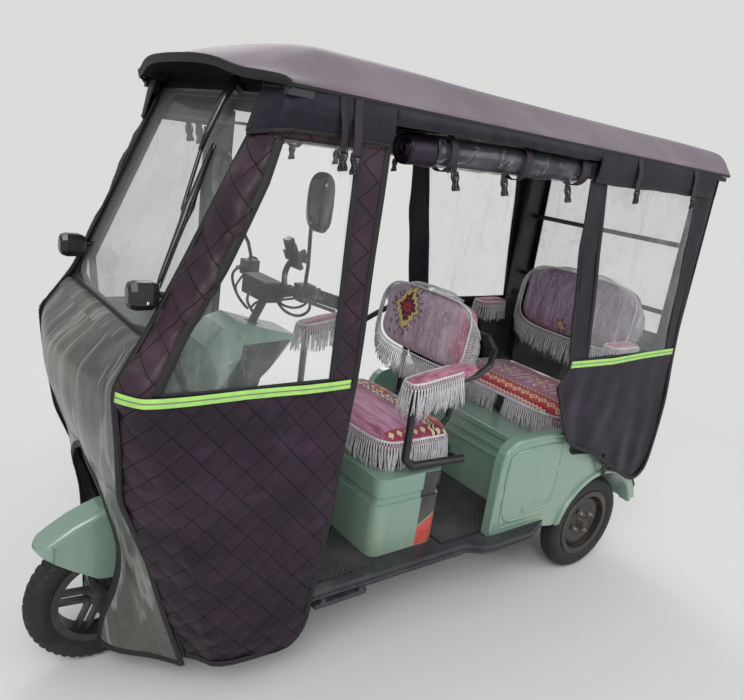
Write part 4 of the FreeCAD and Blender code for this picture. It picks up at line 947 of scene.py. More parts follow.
# columns in mm: height, then (x, y) at the rear, the corner, the bend and the front;
# a rear or corner x is from the sheet's face, the others from the top half width of the glass
CURTAIN = [
    (1702, (0, -470), (0, -738), (28, -748), (-8, -750)),
    (1500, (0, -472), (0, -799), (22, -839), (-18, -841)),
    (1300, (0, -473), (0, -882), (13, -929), (-22, -931)),
    (1140, (0, -475), (0, -966), (8, -1002), (-26, -1005)),
    (1010, (0, -477), (-2, -1030), (42, -1070), (6, -1090)),
    (880, (-3, -482), (-8, -984), (40, -1044), (6, -1076)),
    (700, (-9, -490), (-16, -936), (12, -1006), (-38, -1052)),
    (480, (-18, -500), (-30, -862), (-6, -916), (-64, -962)),
    (140, (-43, -520), (-60, -775), (-40, -816), (-68, -846)),
]
# columns in mm: height, then (x, y) at the middle and the quarter
APRON = [
    (1084, (0, -1052), (190, -1049)),
    (1010, (0, -1140), (190, -1130)),
    (880, (0, -1130), (190, -1116)),
    (700, (0, -1060), (170, -1058)),
    (480, (0, -1052), (150, -1024)),
    (105, (0, -1040), (140, -1002)),
]
SLOT = [(0.5, 60), (78, 60), (88, 150), (104, 211), (138, 300), (168, 400), (190, 490), (190, 545),
        (150, 610),
        (95, 665), (45, 692), (0.5, 700)]


CURTAIN_X = (SHEET_X, SHEET_X, SCREEN_X, SCREEN_X)
FRONT = Drop([row[0] * MM for row in CURTAIN],
             [[(start + x * MM, y * MM) for start, (x, y) in zip(CURTAIN_X, row[1:])] for row in CURTAIN])


def edge_height(y):
    return (1722 + (1690 - 1722) * (y / MM + 862) / (1150 + 862)) * MM


def under_rail(y):
    return edge_height(y) - 0.0318


def broad(s, z):
    return waves(s, z, 5, 0.36)


def quilting(s, z):
    # padded squares on a slant, with creases
    pitch = QUILT * DIAGONAL
    a = np.abs(((s + z) / pitch % 1) * 2 - 1)
    b = np.abs(((s - z) / pitch % 1) * 2 - 1)
    puff = (1 - a ** 4) * (1 - b ** 4)
    soft = broad(s, z) * 0.006 + waves(s + z, z - s, 6, 0.13) * 0.0022 + waves(s, z, 7, 0.06) * 0.0007
    return puff * 0.0030 + soft * 1.4 - 0.0036


def puffed(s, z):
    return (quilting(s, z) * 0.9 + waves(s, z, 14, 0.16) * 0.0034
            + waves(s * 1.4, z, 15, 0.06) * 0.0013 + 0.0015)


def ripple(s, z):
    return waves(s, z * 0.45, 9, 0.20) * 0.0032 + waves(s, z, 12, 0.5) * 0.003 - 0.003


def flutter(s, z):
    return waves(s, z, 21, 0.34) * 0.0036 + waves(s * 1.2, z * 0.6, 22, 0.11) * 0.0013 - 0.003


# Front curtains: lower panel, strips beside the window, window, tape, bindings

# (height, rear y of the window, front y of the window) in mm
WINDOW_ROWS = [(1004, -556, -1016), (1138, -557, -960), (1230, -557, -912), (1300, -558, -874),
               (1500, -559, -791),
               (1597, -560, -764)]
window_rows = [(z * MM, FRONT.find(rear * MM, z * MM), FRONT.find(front * MM, z * MM))
               for z, rear, front in WINDOW_ROWS]
panel_rows = [(0.140, 0.20, 1.0), (0.150, 0.115, 1.0), (0.170, 0.055, 1.0), (0.200, 0.018, 1.0),
              (0.240, 0.0, 1.0),
              (1.004, 0.0, 1.0)]
top_rows = [(1.600, 0.0, 1.0), (1.669, 0.0, 1.0)]
# the strips reach a little past the window's lowest and highest row
around_window = [(0.998, *window_rows[0][1:])] + window_rows[1:-1] + [(1.604, *window_rows[-1][1:])]
front_strip_rows = [(z, front, 1.0) for z, _, front in around_window]
rear_strip_rows = [(z, 0.0, rear) for z, rear, _ in around_window]
TAPE_PATH = [(0.03, 0.998), (0.25, 0.995), (0.5, 0.999), (0.75, 0.996), (0.985, 0.997)]
# path, width, lift and dent of each binding
FRONT_EDGES = [
    ([(0.0, 1.66), (0.0, 0.24), (0.018, 0.200), (0.055, 0.170), (0.115, 0.150), (0.20, 0.142), (1.0, 0.140)],
     0.017, 0.0, ripple),
    ([(1.0, 0.14), (1.0, 1.66)], 0.017, 0.0, None),
    ([(rear, z) for z, rear, _ in window_rows], 0.017, 0.0012, None),
    ([(front, z) for z, _, front in window_rows], 0.020, 0.0012, None),
    ([(window_rows[0][1], 1.012), (window_rows[0][2], 1.012)], 0.010, 0.0010, None),
]

for side, tag in SIDES:
    flip = side == RIGHT
    panel = patch(FRONT, panel_rows, 0.0085, dent=quilting)
    curtain = panel.piece("front_panel_" + tag, "quilt", flip=flip, thick=CLOTH)
    strips = patch(FRONT, front_strip_rows, 0.0075, dent=puffed)
    strips.take(patch(FRONT, top_rows, 0.010, dent=ripple))
    front_strip = strips.piece("front_strip_" + tag, "front_strip", flip=flip, thick=CLOTH)
    strips = patch(FRONT, rear_strip_rows, 0.0085, dent=ripple)
    rear_strip = strips.piece("door_strip_" + tag, "strip_quilt", flip=flip, thick=CLOTH)
    clear = patch(FRONT, window_rows, 0.011, dent=flutter)
    pane = clear.piece("front_window_" + tag, "window", flip=flip, thick=CLEAR)
    edges = Build()
    for path, width, lift, dent in FRONT_EDGES:
        trim(edges, FRONT, path, width, 0.0048, 0.012, lift, dent)
    binding = edges.piece("front_binding_" + tag, "binding", flip=flip)
    tape = Build()
    trim(tape, FRONT, TAPE_PATH, *TAPE, 0.008, 0.0062, lambda s, z: broad(s, z) * 0.004)
    tape = tape.piece("front_tape_" + tag, "tape", flip=flip)
    if side == LEFT:
        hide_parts("front_curtains")
        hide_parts("curtain_windows")


# Rear curtains, in the side's plane with a light drape

REAR_OUTLINE = [(338, 1700), (352, 1600), (368, 1440), (366, 1377), (396, 1262), (418, 1104), (455, 966),
                (452, 945), (408, 887), (446, 833), (490, 744), (533, 674), (600, 632), (690, 604),
                (760, 570),
                (892, 494), (980, 446), (1040, 418), (1090, 424), (1134, 465), (1146, 612), (1148, 735),
                (1144, 793), (1112, 975), (1092, 1247), (1082, 1448), (1068, 1700)]
# (height, front of the sheet, front of the window, rear of the window, rear of the sheet) in mm
REAR_ROWS = [(1668, 343, 414, 992, 1070), (1604, 352, 420, 985, 1074), (1447, 368, 452, 1006, 1082),
             (1355, 372, 468, 1012, 1087), (1252, 398, 492, 1022, 1092), (1104, 418, 518, 1038, 1101),
             (990, 448, 540, 1052, 1110)]


class Flat:
    # a sheet in the side's plane: t is the place along the vehicle, from the start over the span
    start = 0.30
    span = 0.90

    def at(self, t, z):
        y = self.start + np.asarray(t, float) * self.span
        return np.stack([np.full_like(y, SHEET_X), y, z + 0 * y], -1)

    def normal(self, t, z):
        t = np.asarray(t, float)
        return np.stack([np.ones_like(t), 0 * t, 0 * t], -1)

    def length(self, z):
        return np.full_like(np.asarray(z, float), self.span)

    def find(self, y):
        return (y * MM - self.start) / self.span


REAR = Flat()


def bag(s, z):
    # the lower lobe hangs in soft upright folds
    deep = np.clip((0.99 - z) / 0.25, 0, 1)
    folds = waves(s, z * 0.22, 31, 0.15) * 0.0066 + waves(s * 1.1, z * 0.5, 34, 0.07) * 0.0018
    return -0.005 - deep * 0.005 + folds * deep + waves(s, z, 33, 0.4) * 0.0025


def drape(s, z):
    return -0.003 + waves(s, z * 0.4, 35, 0.16) * 0.0022


def lobe():
    # quad strips between the front and the rear outline, row by row
    front = [(455, 992), (455, 966), (452, 945), (408, 887), (446, 833), (490, 744), (533, 674), (600, 632),
             (690, 604), (760, 570), (892, 494), (980, 446), (1040, 418)]
    rear = [(1110, 992), (1113, 966), (1144, 793), (1148, 735), (1146, 612), (1134, 465), (1090, 424),
            (1066, 418)]
    z = np.linspace(418.5, 992, 74)
    starts, ends = (np.interp(z, *np.array(edge[::-1]).T[::-1]) for edge in (front, rear))
    return list(zip(z * MM, REAR.find(starts), REAR.find(ends)))


def rear_patch(rows, start, end, step, dent):
    # the part of the rear sheet between two columns of its table
    spans = [(row[0] * MM, REAR.find(row[start]), REAR.find(row[end])) for row in rows]
    return patch(REAR, spans, step, dent=dent)


rear_rows = sorted(REAR_ROWS)
REAR_TAPE = [(452, 974), (700, 969), (900, 978), (1100, 982)]
for side, tag in SIDES:
    flip = side == RIGHT
    low = patch(REAR, lobe(), 0.009, dent=bag)
    rear_panel = low.piece("rear_panel_" + tag, "leather", flip=flip, thick=CLOTH)
    strips = rear_patch(rear_rows, 1, 2, 0.010, drape)
    strips.take(rear_patch(rear_rows, 3, 4, 0.010, drape))
    strips.take(rear_patch([(1600, 352, 1074), (1663, 343, 1070)], 1, 2, 0.012, drape))
    rear_strips = strips.piece("rear_strips_" + tag, "leather", flip=flip, thick=CLOTH)
    clear = rear_patch(rear_rows[:-1], 2, 3, 0.011, flutter)
    pane = clear.piece("rear_window_" + tag, "window", flip=flip, thick=CLEAR)
    edges = Build()
    outline = chaikin(REAR_OUTLINE[1:-1], 2)
    trim(edges, REAR, [(REAR.find(y), z * MM) for y, z in outline], 0.017, 0.0055, 0.010, -0.002)
    for column in (2, 3):
        path = [(REAR.find(row[column]), row[0] * MM) for row in rear_rows]
        trim(edges, REAR, path, 0.016, 0.0050, 0.012, -0.0015)
    binding = edges.piece("rear_binding_" + tag, "binding", flip=flip)
    tape = Build()
    trim(tape, REAR, [(REAR.find(y), z * MM) for y, z in REAR_TAPE], *TAPE, 0.008, 0.0022)
    tape = tape.piece("rear_tape_" + tag, "tape", flip=flip)
    if side == LEFT:
        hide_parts("rear_curtains")


# Apron

SCREEN_LOW = np.array((0.0, -0.988, 1.125))
SCREEN_TOP = np.array((0.0, -0.735, 1.688))
SCREEN_UP = unit(SCREEN_TOP - SCREEN_LOW)
SCREEN_OUT = np.cross((1.0, 0.0, 0.0), SCREEN_UP)
SCREEN_LONG = float(np.linalg.norm(SCREEN_TOP - SCREEN_LOW))


def apron_lines():
    # the apron's edge keeps to the front edge of the curtain
    edge = sorted((row[0], SCREEN_X + row[4][0] * MM, row[4][1] * MM) for row in CURTAIN)
    heights, edge_x, edge_y = zip(*edge)
    lines = []
    for z, mid, quarter in APRON:
        x = np.interp(z, heights, edge_x) - 0.003
        y = np.interp(z, heights, edge_y)
        q = (quarter[0] * MM, quarter[1] * MM)
        lines.append([(x, y), q, (0, mid[1] * MM), (-q[0], q[1]), (-x, y)])
    return lines


HOOD = Drop([row[0] * MM for row in APRON], apron_lines(), rounds=3, soft=0.022, count=161)


def fan(s, z):
    # s runs from the left edge; folds radiate from the upper middle
    mid = s - 0.42
    spread = mid / (1.30 - z * 0.55)
    deep = np.clip((1.06 - z) / 0.5, 0, 1)
    return waves(spread, z * 0.15, 41, 0.13) * 0.006 * deep + waves(s, z, 43, 0.45) * 0.004 - 0.002


def hood_rows():
    # each height with the place of the slot's left edge
    slot = np.array(SLOT[1:], float) * MM
    t = np.linspace(0, 0.5, 200)
    rows = []
    for z in np.concatenate([np.linspace(0.105, 0.66, 64), np.linspace(0.664, 0.7, 10)]):
        x = np.interp(z, slot[:, 1], slot[:, 0])
        line = HOOD.at(t, np.full(200, z))
        rows.append((z, float(np.interp(-x, -line[:, 0], t))))
    return rows


slot_rows = hood_rows()
hood = Build()
hood.take(patch(HOOD, [(z, 0.0, t) for z, t in slot_rows], 0.010, dent=fan))
hood.take(patch(HOOD, [(z, 1 - t, 1.0) for z, t in slot_rows], 0.010, dent=fan))
upper = patch(HOOD, [(0.70, 0.0, 1.0), (1.084, 0.0, 1.0)], 0.010, dent=fan)
hood.take(upper)
levels = int((1.084 - 0.70) / 0.010)
flap_low = upper.verts[0].reshape(levels, -1, 3)[-1]
wide = len(flap_low)
flap_top = (SCREEN_LOW - SCREEN_UP * 0.021 + SCREEN_OUT * 0.0095
            + np.outer(np.linspace(1, -1, wide), (0.352, 0, 0)))
q = np.linspace(0, 1, 7)[:, None, None]
flap = flap_low * (1 - q) + flap_top * q
flap[..., 2] += 0.008 * np.sin(q[..., 0] * math.pi)
hood.add(flap, grid_faces(7, wide, turned=True),
         np.stack([np.broadcast_to(np.linspace(0, 1, wide) * 0.85, (7, wide)), flap[..., 2]], -1))
apron = hood.piece("apron_sheet", "apron", thick=THIN_CLOTH, weld=True)
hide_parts("front_apron")
edges = Build()
slot_path = [(t, z) for z, t in slot_rows] + [(1 - t, z) for z, t in slot_rows][::-1]
trim(edges, HOOD, slot_path, 0.020, 0.005, dent=fan)
slot_foot = slot_rows[0][1]
for path in ([(0.0, 0.105), (0.0, 1.08)], [(1.0, 0.105), (1.0, 1.08)], [(0.0, 0.108), (slot_foot, 0.108)],
             [(1 - slot_foot, 0.108), (1.0, 0.108)]):
    trim(edges, HOOD, path, 0.018, 0.005, 0.014, dent=fan)
sweep(edges, flap_top + SCREEN_OUT * 0.001, SCREEN_OUT, 0.014, 0.004)
apron_edge = edges.piece("apron_binding", "binding")


# Roof: one stretched cover with a turned edge

# columns in mm: place along the vehicle, crest above the edge, crown above the edge
ROOF_STATIONS = [(-900, -23, 25), (-640, 93, 114), (-380, 93, 115), (-160, 85, 108), (300, 82, 106),
                 (1150, 80, 104)]
ROOF_HALF = 0.4640
CREST = 0.335
ROOF_FRONT = -0.87
ROOF_REAR = 1.150


def roof_line(y):
    stations = np.array(ROOF_STATIONS, float) * MM
    near = y + np.linspace(-0.05, 0.05, 9)
    crest = np.interp(near, stations[:, 0], stations[:, 1]).mean()
    crown = np.interp(near, stations[:, 0], stations[:, 2]).mean()
    z = edge_height(y)
    late = min(1.0, max(0.0, (y - 0.75) / 0.40))
    late = late * late * (3 - 2 * late)
    crest = crest - 0.010 * late
    side = CREST + 0.062 * late
    left = [(ROOF_HALF, z - 0.012), (ROOF_HALF, z - 0.003), (ROOF_HALF - 0.004, z + 0.001),
            (side + 0.022, z + crest * 0.86 - 0.002), (side - 0.020, z + crest + 0.004),
            (CREST * 0.62, z + crown - 0.005), (0.0, z + crown)]
    line = left + [(-x, h) for x, h in left[::-1][1:]]
    soft = chaikin(np.array(line), 2)
    return even(soft, 111)[0]


def roof_front(x):
    # the front edge is a shallow arc in plan with rounded corners
    share = np.abs(x) / ROOF_HALF
    return -0.862 + 0.072 * share ** 2 + 0.022 * np.clip((share - 0.86) / 0.14, 0, 1) ** 2


def roof():
    columns = 111
    table_y = np.linspace(ROOF_FRONT, ROOF_REAR, 203)
    table = np.array([roof_line(y) for y in table_y])
    # finer steps over the front third, where the roof bends down
    steps = np.concatenate([np.linspace(0, 0.3, 44), np.linspace(0.3, 1, 72)[1:]])[:, None]
    start = roof_front(table[20][:, 0])
    y = start + (ROOF_REAR - 0.001 - start) * steps
    k = np.clip((y - ROOF_FRONT) / (ROOF_REAR - ROOF_FRONT) * 202, 0, 201.999)
    i = k.astype(int)
    share = (k - i)[..., None]
    column = np.arange(columns)
    profile = table[i, column] * (1 - share) + table[i + 1, column] * share
    rows = np.stack([profile[..., 0], y, profile[..., 1]], -1)
    far = np.abs(rows[..., 0])
    xs = rows[..., 0]
    slack = np.clip((far - 0.30) / 0.06, 0, 1) * np.clip((0.455 - far) / 0.04, 0, 1)
    rows[..., 2] -= np.abs(waves(y, xs, 51, 0.45)) * 0.003 * slack
    rows[..., 2] += waves(y, xs, 52, 0.6) * 0.0015 * (far < 0.44)
    build = Build()
    build.add(rows, grid_faces(len(rows), columns, turned=True),
              np.stack([np.broadcast_to(run_of(rows[40]), y.shape), y], -1))
    # the rear closing
    last = rows[-1]
    floor = last.copy()
    floor[:, 2] = np.minimum(last[:, 2], edge_height(ROOF_REAR) - 0.013)
    build.add(np.stack([last, (last + floor) / 2, floor]), grid_faces(3, columns, turned=True),
              np.stack([last[:, (0, 2)]] * 3))
    return build, rows


cover, roof_rows = roof()
roof_cover = cover.piece("roof_cover", "roof", thick=0.003)
roof_cover.data.materials.append(MATS["lining"])
roof_cover.modifiers["Skin"].material_offset = 1
roof_cover.modifiers["Skin"].material_offset_rim = 1
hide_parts("roof_shell")
hem = Build()
for column, outward in ((0, 1), (-1, -1)):
    line = roof_rows[:, column].copy()
    line[:, 0] -= outward * 0.0010
    line[:, 2] += 0.002
    sweep(hem, line, (outward, 0, 0), 0.009, 0.0035)
front_line = roof_rows[0].copy()
front_line[:, 2] -= 0.006
sweep(hem, along(front_line, 0.012), (0, -0.97, -0.2), 0.022, 0.0045)
roof_hem = hem.piece("roof_hem", "binding")


# Valances under the roof's edge, with hems, straps and buckles

def valance(y0, y1, low0, low1, seed):
    count = max(12, int((y1 - y0) / 0.009))
    y = np.linspace(y0, y1, count)
    rows = []
    for q in np.linspace(0, 1, 14):
        top = edge_height(y) - 0.009
        bottom = low0 + (low1 - low0) * (y - y0) / (y1 - y0) + waves(y, 0 * y, seed, 0.22) * 0.003
        z = top + (bottom - top) * q
        fold = waves(y, z * 0.2, seed + 1, 0.06) * 0.0042 * q + waves(y, z * 0.2, seed + 2, 0.22) * 0.003 * q
        x = 0.4612 + 0.004 * math.sin(q * 2.4) + fold * 0.8 - 0.006 * q ** 2
        rows.append(np.stack([x, y, z], 1))
    rows = np.array(rows)
    build = Build()
    build.add(rows, grid_faces(14, count), np.stack([rows[..., 1], rows[..., 2]], -1))
    return build, rows[-1]


def front_valance(seed):
    # follows the front curtain round its bend to the windscreen's edge
    t = np.linspace(0.0, 1.0, 62)
    low = np.interp(t, [0.0, 0.4, 0.72, 0.88, 1.0], [1.616, 1.622, 1.620, 1.606, 1.598])
    rows = []
    for q in np.linspace(0, 1, 16):
        z_top = np.interp(t, [0.0, 0.75, 1.0], [1.7060, 1.7110, 1.7120])
        z = z_top + (low - z_top) * q
        place = FRONT.at(t, z)
        fold = waves(t * 0.45, z * 0.3, seed, 0.16) * 0.0035 * (0.2 + q)
        # it stands out a little over the corner of the front bow
        corner = np.exp(-((place[:, 1] + 0.745) / 0.034) ** 2)
        out = 0.0050 + 0.0105 * (1 - q) ** 0.7 + fold + 0.003 * math.sin(q * 3.1) + 0.0055 * corner * (1 - q)
        rows.append(place + FRONT.normal(t, z) * out[..., None])
    rows = np.array(rows)
    build = Build()
    length = np.broadcast_to(t * 0.45, rows.shape[:2])
    build.add(rows, grid_faces(16, 62, turned=True), np.stack([length, rows[..., 2]], -1))
    return build, rows


def buckle(build, place, across, up, out):
    # a side-release buckle hanging at the end of a strap: a body with two finger cut-outs and a bar
    outline = [(-13, 20), (13, 20), (13, 12), (11, 8), (8.5, 0), (11, -8), (13, -12), (12.5, -20),
               (-12.5, -20),
               (-13, -12), (-11, -8), (-8.5, 0), (-11, 8), (-13, 12)]
    outline = np.array(outline, float) * MM
    rings = [(0.86, -0.0042), (1.0, -0.0028), (1.0, 0.0028), (0.86, 0.0042)]
    verts = [place + outline[:, :1] * scale * across + outline[:, 1:] * scale * up + depth * out
             for scale, depth in rings]
    build.add(np.stack(verts), rod_faces(4, len(outline)))
    for x in (-0.0045, 0.0045):
        tube(build, [place + across * x + up * z + out * 0.0048 for z in (0.006, -0.015)], 0.0022, 6)
    ring = [place + across * a + up * b for a, b in
            ((-0.012, 0.020), (-0.012, 0.029), (0.012, 0.029), (0.012, 0.020))]
    tube(build, ring, 0.0022, 6)


OUTWARD = np.array((1.0, 0.0, 0.0))


def strap_down(straps, buckles, top, foot, seed, width=0.022, lift=0.006):
    # a short strap on the vehicle's left side, slightly bowed, with a buckle where buckles are wanted
    top, foot = np.array(top, float), np.array(foot, float)
    q = np.linspace(0, 1, 14)[:, None]
    bow = OUTWARD * (lift * np.sin(q * 2.6) + 0.002 * np.sin(q * 9 + seed))
    sweep(straps, top + (foot - top) * q + bow, OUTWARD, width, 0.002)
    if buckles:
        up = unit(top - foot)
        buckle(buckles, foot - up * 0.018 + bow[-1], unit(np.cross(up, OUTWARD)), up, OUTWARD)


for side, tag in SIDES:
    flip = side == RIGHT
    over, line_one = valance(0.349, 1.052, 1.598, 1.598, 61)
    # a short dark flap along the middle under the roof's edge, over the rail: partly a real flap, partly a
    # painted shade under the edge
    above, line_mid = valance(-0.472, 0.352, 1.668, 1.662, 63)
    over.take(above)
    ahead, sheet = front_valance(65)
    over.take(ahead)
    line_two = sheet[-1]
    frill = over.piece("valance_" + tag, "valance", flip=flip, thick=THIN_CLOTH)
    hems = Build()
    sweep(hems, line_one + (0.0006, 0, 0), OUTWARD, 0.015, 0.0045)
    sweep(hems, line_mid + (0.0006, 0, 0), OUTWARD, 0.008, 0.0035)
    out = FRONT.normal(np.linspace(0, 1, len(line_two)), line_two[:, 2])
    sweep(hems, line_two + out * 0.0006, out, 0.015, 0.0045)
    sweep(hems, sheet[:, -1] + out[-1] * 0.0006, out[-1], 0.015, 0.0045)
    hems.piece("valance_hem_" + tag, "binding", flip=flip)
    straps = Build()
    dark_straps = Build()
    buckles = Build()
    strap_down(straps, buckles, (0.4665, -0.590, 1.706), (0.4600, -0.578, 1.575), 2)
    strap_down(dark_straps, buckles, (0.4660, -0.632, 1.706), (0.4590, -0.614, 1.580), 3, 0.018)
    strap_down(straps, buckles, (0.4665, 0.552, 1.690), (0.4640, 0.568, 1.580), 4)
    strap_down(straps, buckles, (0.4665, 0.900, 1.684), (0.4640, 0.920, 1.585), 5)
    for y in (-0.232, -0.040, 0.246):
        strap_down(dark_straps, buckles, (0.430, y - 0.004, 1.592), (0.436, y, 1.560), 6, 0.018, 0.002)
    strap_down(dark_straps, buckles, (0.4440, 0.806, 0.566), (0.4370, 0.826, 0.528), 7, 0.018, 0.001)
    strap_down(dark_straps, None, (0.4330, 0.842, 0.500), (0.4240, 0.862, 0.452), 8, 0.018, 0.001)
    straps.piece("roof_straps_" + tag, "strap", flip=flip)
    dark_straps.piece("short_straps_" + tag, "black_strap", flip=flip)
    buckles.piece("buckles_" + tag, "gloss_plastic", flip=flip)


# Rolled door curtains: a spiral of sheet, dark at its front end

ROLL_X = 0.396
ROLL_Z = 1.616
ROLL_RADIUS = 0.045
ROLL_FRONT = -0.388
ROLL_REAR = 0.326
ROLL_RISE = 0.008


def roll_share(y):
    return (y - ROLL_FRONT) / (ROLL_REAR - ROLL_FRONT)


def roll_height(y):
    return ROLL_Z + ROLL_RISE * roll_share(y)


def roll_swell(y):
    # the roll is fattest about its middle
    return 1 + 0.10 * np.sin(math.pi * roll_share(y)) ** 0.8


def roll_spiral():
    turns = 5
    y = np.linspace(ROLL_FRONT, ROLL_REAR, 64)
    rows = []
    uvs = []
    for share in np.linspace(0, 1, 30 * turns):
        angle = math.tau * turns * share
        crumple = waves(y, np.full_like(y, angle * 0.05), 71, 0.16) * 0.0022 * share
        crumple = crumple + waves(y, np.full_like(y, angle * 0.04), 72, 0.05) * 0.0012 * share
        r = 0.008 + (ROLL_RADIUS - 0.0085) * share + crumple * (0.4 if share < 0.8 else 1.0) - 0.0012
        r = r * roll_swell(y)
        sag = 1 - 0.05 * math.sin(angle)
        theta = -angle + 1.2
        start = 0.004 * math.sin(angle * 0.7) * (1 - share)
        rows.append(np.stack([ROLL_X + r * math.cos(theta) * sag, y + start,
                              roll_height(y) + r * math.sin(theta)], 1))
        uvs.append(np.stack([np.full_like(y, share * 0.83), y - ROLL_FRONT], 1))
    return np.array(rows), np.array(uvs), y


roll_rows, roll_uvs, roll_y = roll_spiral()
cut = int(np.argmin(np.abs(roll_y - (ROLL_FRONT + 0.095))))
inner = int(len(roll_rows) * 0.78)
for side, tag in SIDES:
    flip = side == RIGHT
    core = Build()
    core.add(roll_rows[:, :cut + 1], grid_faces(len(roll_rows), cut + 1), roll_uvs[:, :cut + 1])
    core.add(roll_rows[:inner, cut:], grid_faces(inner, len(roll_y) - cut), roll_uvs[:inner, cut:])
    wound = core.piece("roll_core_" + tag, "leather", flip=flip, thick=0.0018)
    shell = Build()
    shell.add(roll_rows[inner - 12:, cut:], grid_faces(len(roll_rows) - inner + 12, len(roll_y) - cut),
              roll_uvs[inner - 12:, cut:])
    vinyl = shell.piece("roll_vinyl_" + tag, "roll", flip=flip, thick=CLEAR)
    if side == LEFT:
        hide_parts("curtain_rolls")
    bands = Build()
    for y, width in ((-0.262, 0.024), (0.030, 0.024), (0.300, 0.040)):
        # round the roll and up to the rail, where that is above it
        a = np.linspace(-2.6, 1.45, 40)
        r = ROLL_RADIUS * roll_swell(y) + 0.0022
        centre = np.array([ROLL_X, y + 0.012, roll_height(y)])
        ring = centre + np.stack([r * np.cos(a), 0 * a, r * np.sin(a)], 1)
        top = under_rail(y)
        if top > ROLL_Z + 0.045:
            ring = np.concatenate([ring, [[0.434, y + 0.012, top - 0.004]]])
        sweep(bands, ring, unit(ring - centre), width, 0.0022)
    bands.piece("roll_straps_" + tag, "strap", flip=flip)


# Back curtain: clear vinyl with dark borders

def back_cloth(half_wide, low, high, columns, rows, y, seed, pitch, size):
    # an upright sheet across the back, with a light ripple
    xx, zz = np.meshgrid(np.linspace(-half_wide, half_wide, columns), np.linspace(low, high, rows))
    yy = y + waves(xx, zz * 0.4, seed, pitch) * size
    build = Build()
    build.add(np.stack([xx, yy, zz], -1), grid_faces(rows, columns, turned=True), np.stack([xx, zz], -1))
    return build


back = back_cloth(0.430, 0.660, 1.668, 90, 104, 1.1420, 81, 0.24, 0.0012)
back = back.piece("back_sheet", "back", thick=CLEAR)
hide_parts("back_curtain")
frame_cloth = Build()
for x in (-0.400, 0.400):
    line = along([(x, 1.1428, 0.660), (x, 1.1428, 1.668)], 0.02)
    sweep(frame_cloth, line, (0, 1, 0), 0.060, 0.003)
for z, wide in ((0.700, 0.080), (1.640, 0.084)):
    line = along([(-0.43, 1.1432, z), (0.43, 1.1432, z)], 0.02)
    sweep(frame_cloth, line, (0, 1, 0), wide, 0.003)
back_border = frame_cloth.piece("back_border", "leather")
low_cloth = back_cloth(0.428, 0.664, 1.020, 72, 36, 1.1446, 84, 0.20, 0.0010)
back_panel = low_cloth.piece("back_panel", "quilt", thick=-0.0020)
tape = Build()
sweep(tape, along([(-0.42, 1.1492, 0.985), (0.42, 1.1492, 0.985)], 0.02), (0, 1, 0), *TAPE)
back_tape = tape.piece("back_tape", "tape")


# Padded covers

def superellipse(angles, half_a, half_b, power):
    # a round outline that fills its corners more the higher the power
    c, s = np.cos(angles), np.sin(angles)
    scale = (np.abs(c) ** power + np.abs(s) ** power) ** (-1 / power)
    return np.stack([half_a * c * scale, half_b * s * scale], 1)


def pillow(half_a, half_b, corner, thick, crown, seg, rings):
    # an outline in a plane with a crowned thickness; returns points (a, b, c) and faces
    outline = superellipse(circle(seg), half_a, half_b, 3.6 + 3.2 * (1 - corner / min(half_a, half_b)))
    shares = np.sin(np.linspace(0, 1, rings) * math.pi / 2)[1:]
    heights = [(v, (1 - v ** crown) ** 0.5 * thick / 2 * (1 - 0.10 * v ** 2)) for v in shares]
    heights += [(v, -(1 - v ** crown) ** 0.5 * thick / 2) for v in shares[-2::-1]]
    layers = [np.column_stack([outline * v, np.full(seg, height)]) for v, height in heights]
    verts = np.concatenate([[[0, 0, thick / 2]], *layers, [[0, 0, -thick / 2]]])
    last = len(verts) - 1
    rim = last - seg
    faces = [(0, 1 + j, 1 + (j + 1) % seg) for j in range(seg)]
    faces += [tuple(1 + face[k] for k in (0, 3, 2, 1)) for face in grid_faces(len(layers), seg, True)]
    faces += [(last, rim + (j + 1) % seg, rim + j) for j in range(seg)]
    return verts, faces, outline


def coordinates(vertices):
    # the vertices' coordinates, one row each
    values = np.empty(len(vertices) * 3)
    vertices.foreach_get("co", values)
    return values.reshape(-1, 3)


CLOTH_FRAMES = 20


def inflate(obj, cap, pressure=4.0):
    # the cover swells under pressure and settles, and no point moves further than the cap
    scene = bpy.context.scene
    mesh = obj.data
    start = coordinates(mesh.vertices)
    cloth = obj.modifiers.new("Cloth", "CLOTH")
    cloth.settings.quality = 5
    cloth.settings.mass = 0.25
    cloth.settings.use_pressure = True
    cloth.settings.uniform_pressure_force = pressure
    cloth.settings.tension_stiffness = 12
    cloth.settings.compression_stiffness = 12
    cloth.settings.bending_stiffness = 0.6
    cloth.settings.effector_weights.gravity = 0
    for number in range(1, CLOTH_FRAMES + 1):
        scene.frame_set(number)
    settled = obj.evaluated_get(bpy.context.evaluated_depsgraph_get())
    move = coordinates(settled.to_mesh().vertices) - start
    settled.to_mesh_clear()
    obj.modifiers.remove(cloth)
    scene.frame_set(1)
    far = np.linalg.norm(move, axis=1, keepdims=True)
    move = move * np.minimum(1, cap / np.maximum(far, 1e-9))
    mesh.vertices.foreach_set("co", (start + move).ravel())
    mesh.update()


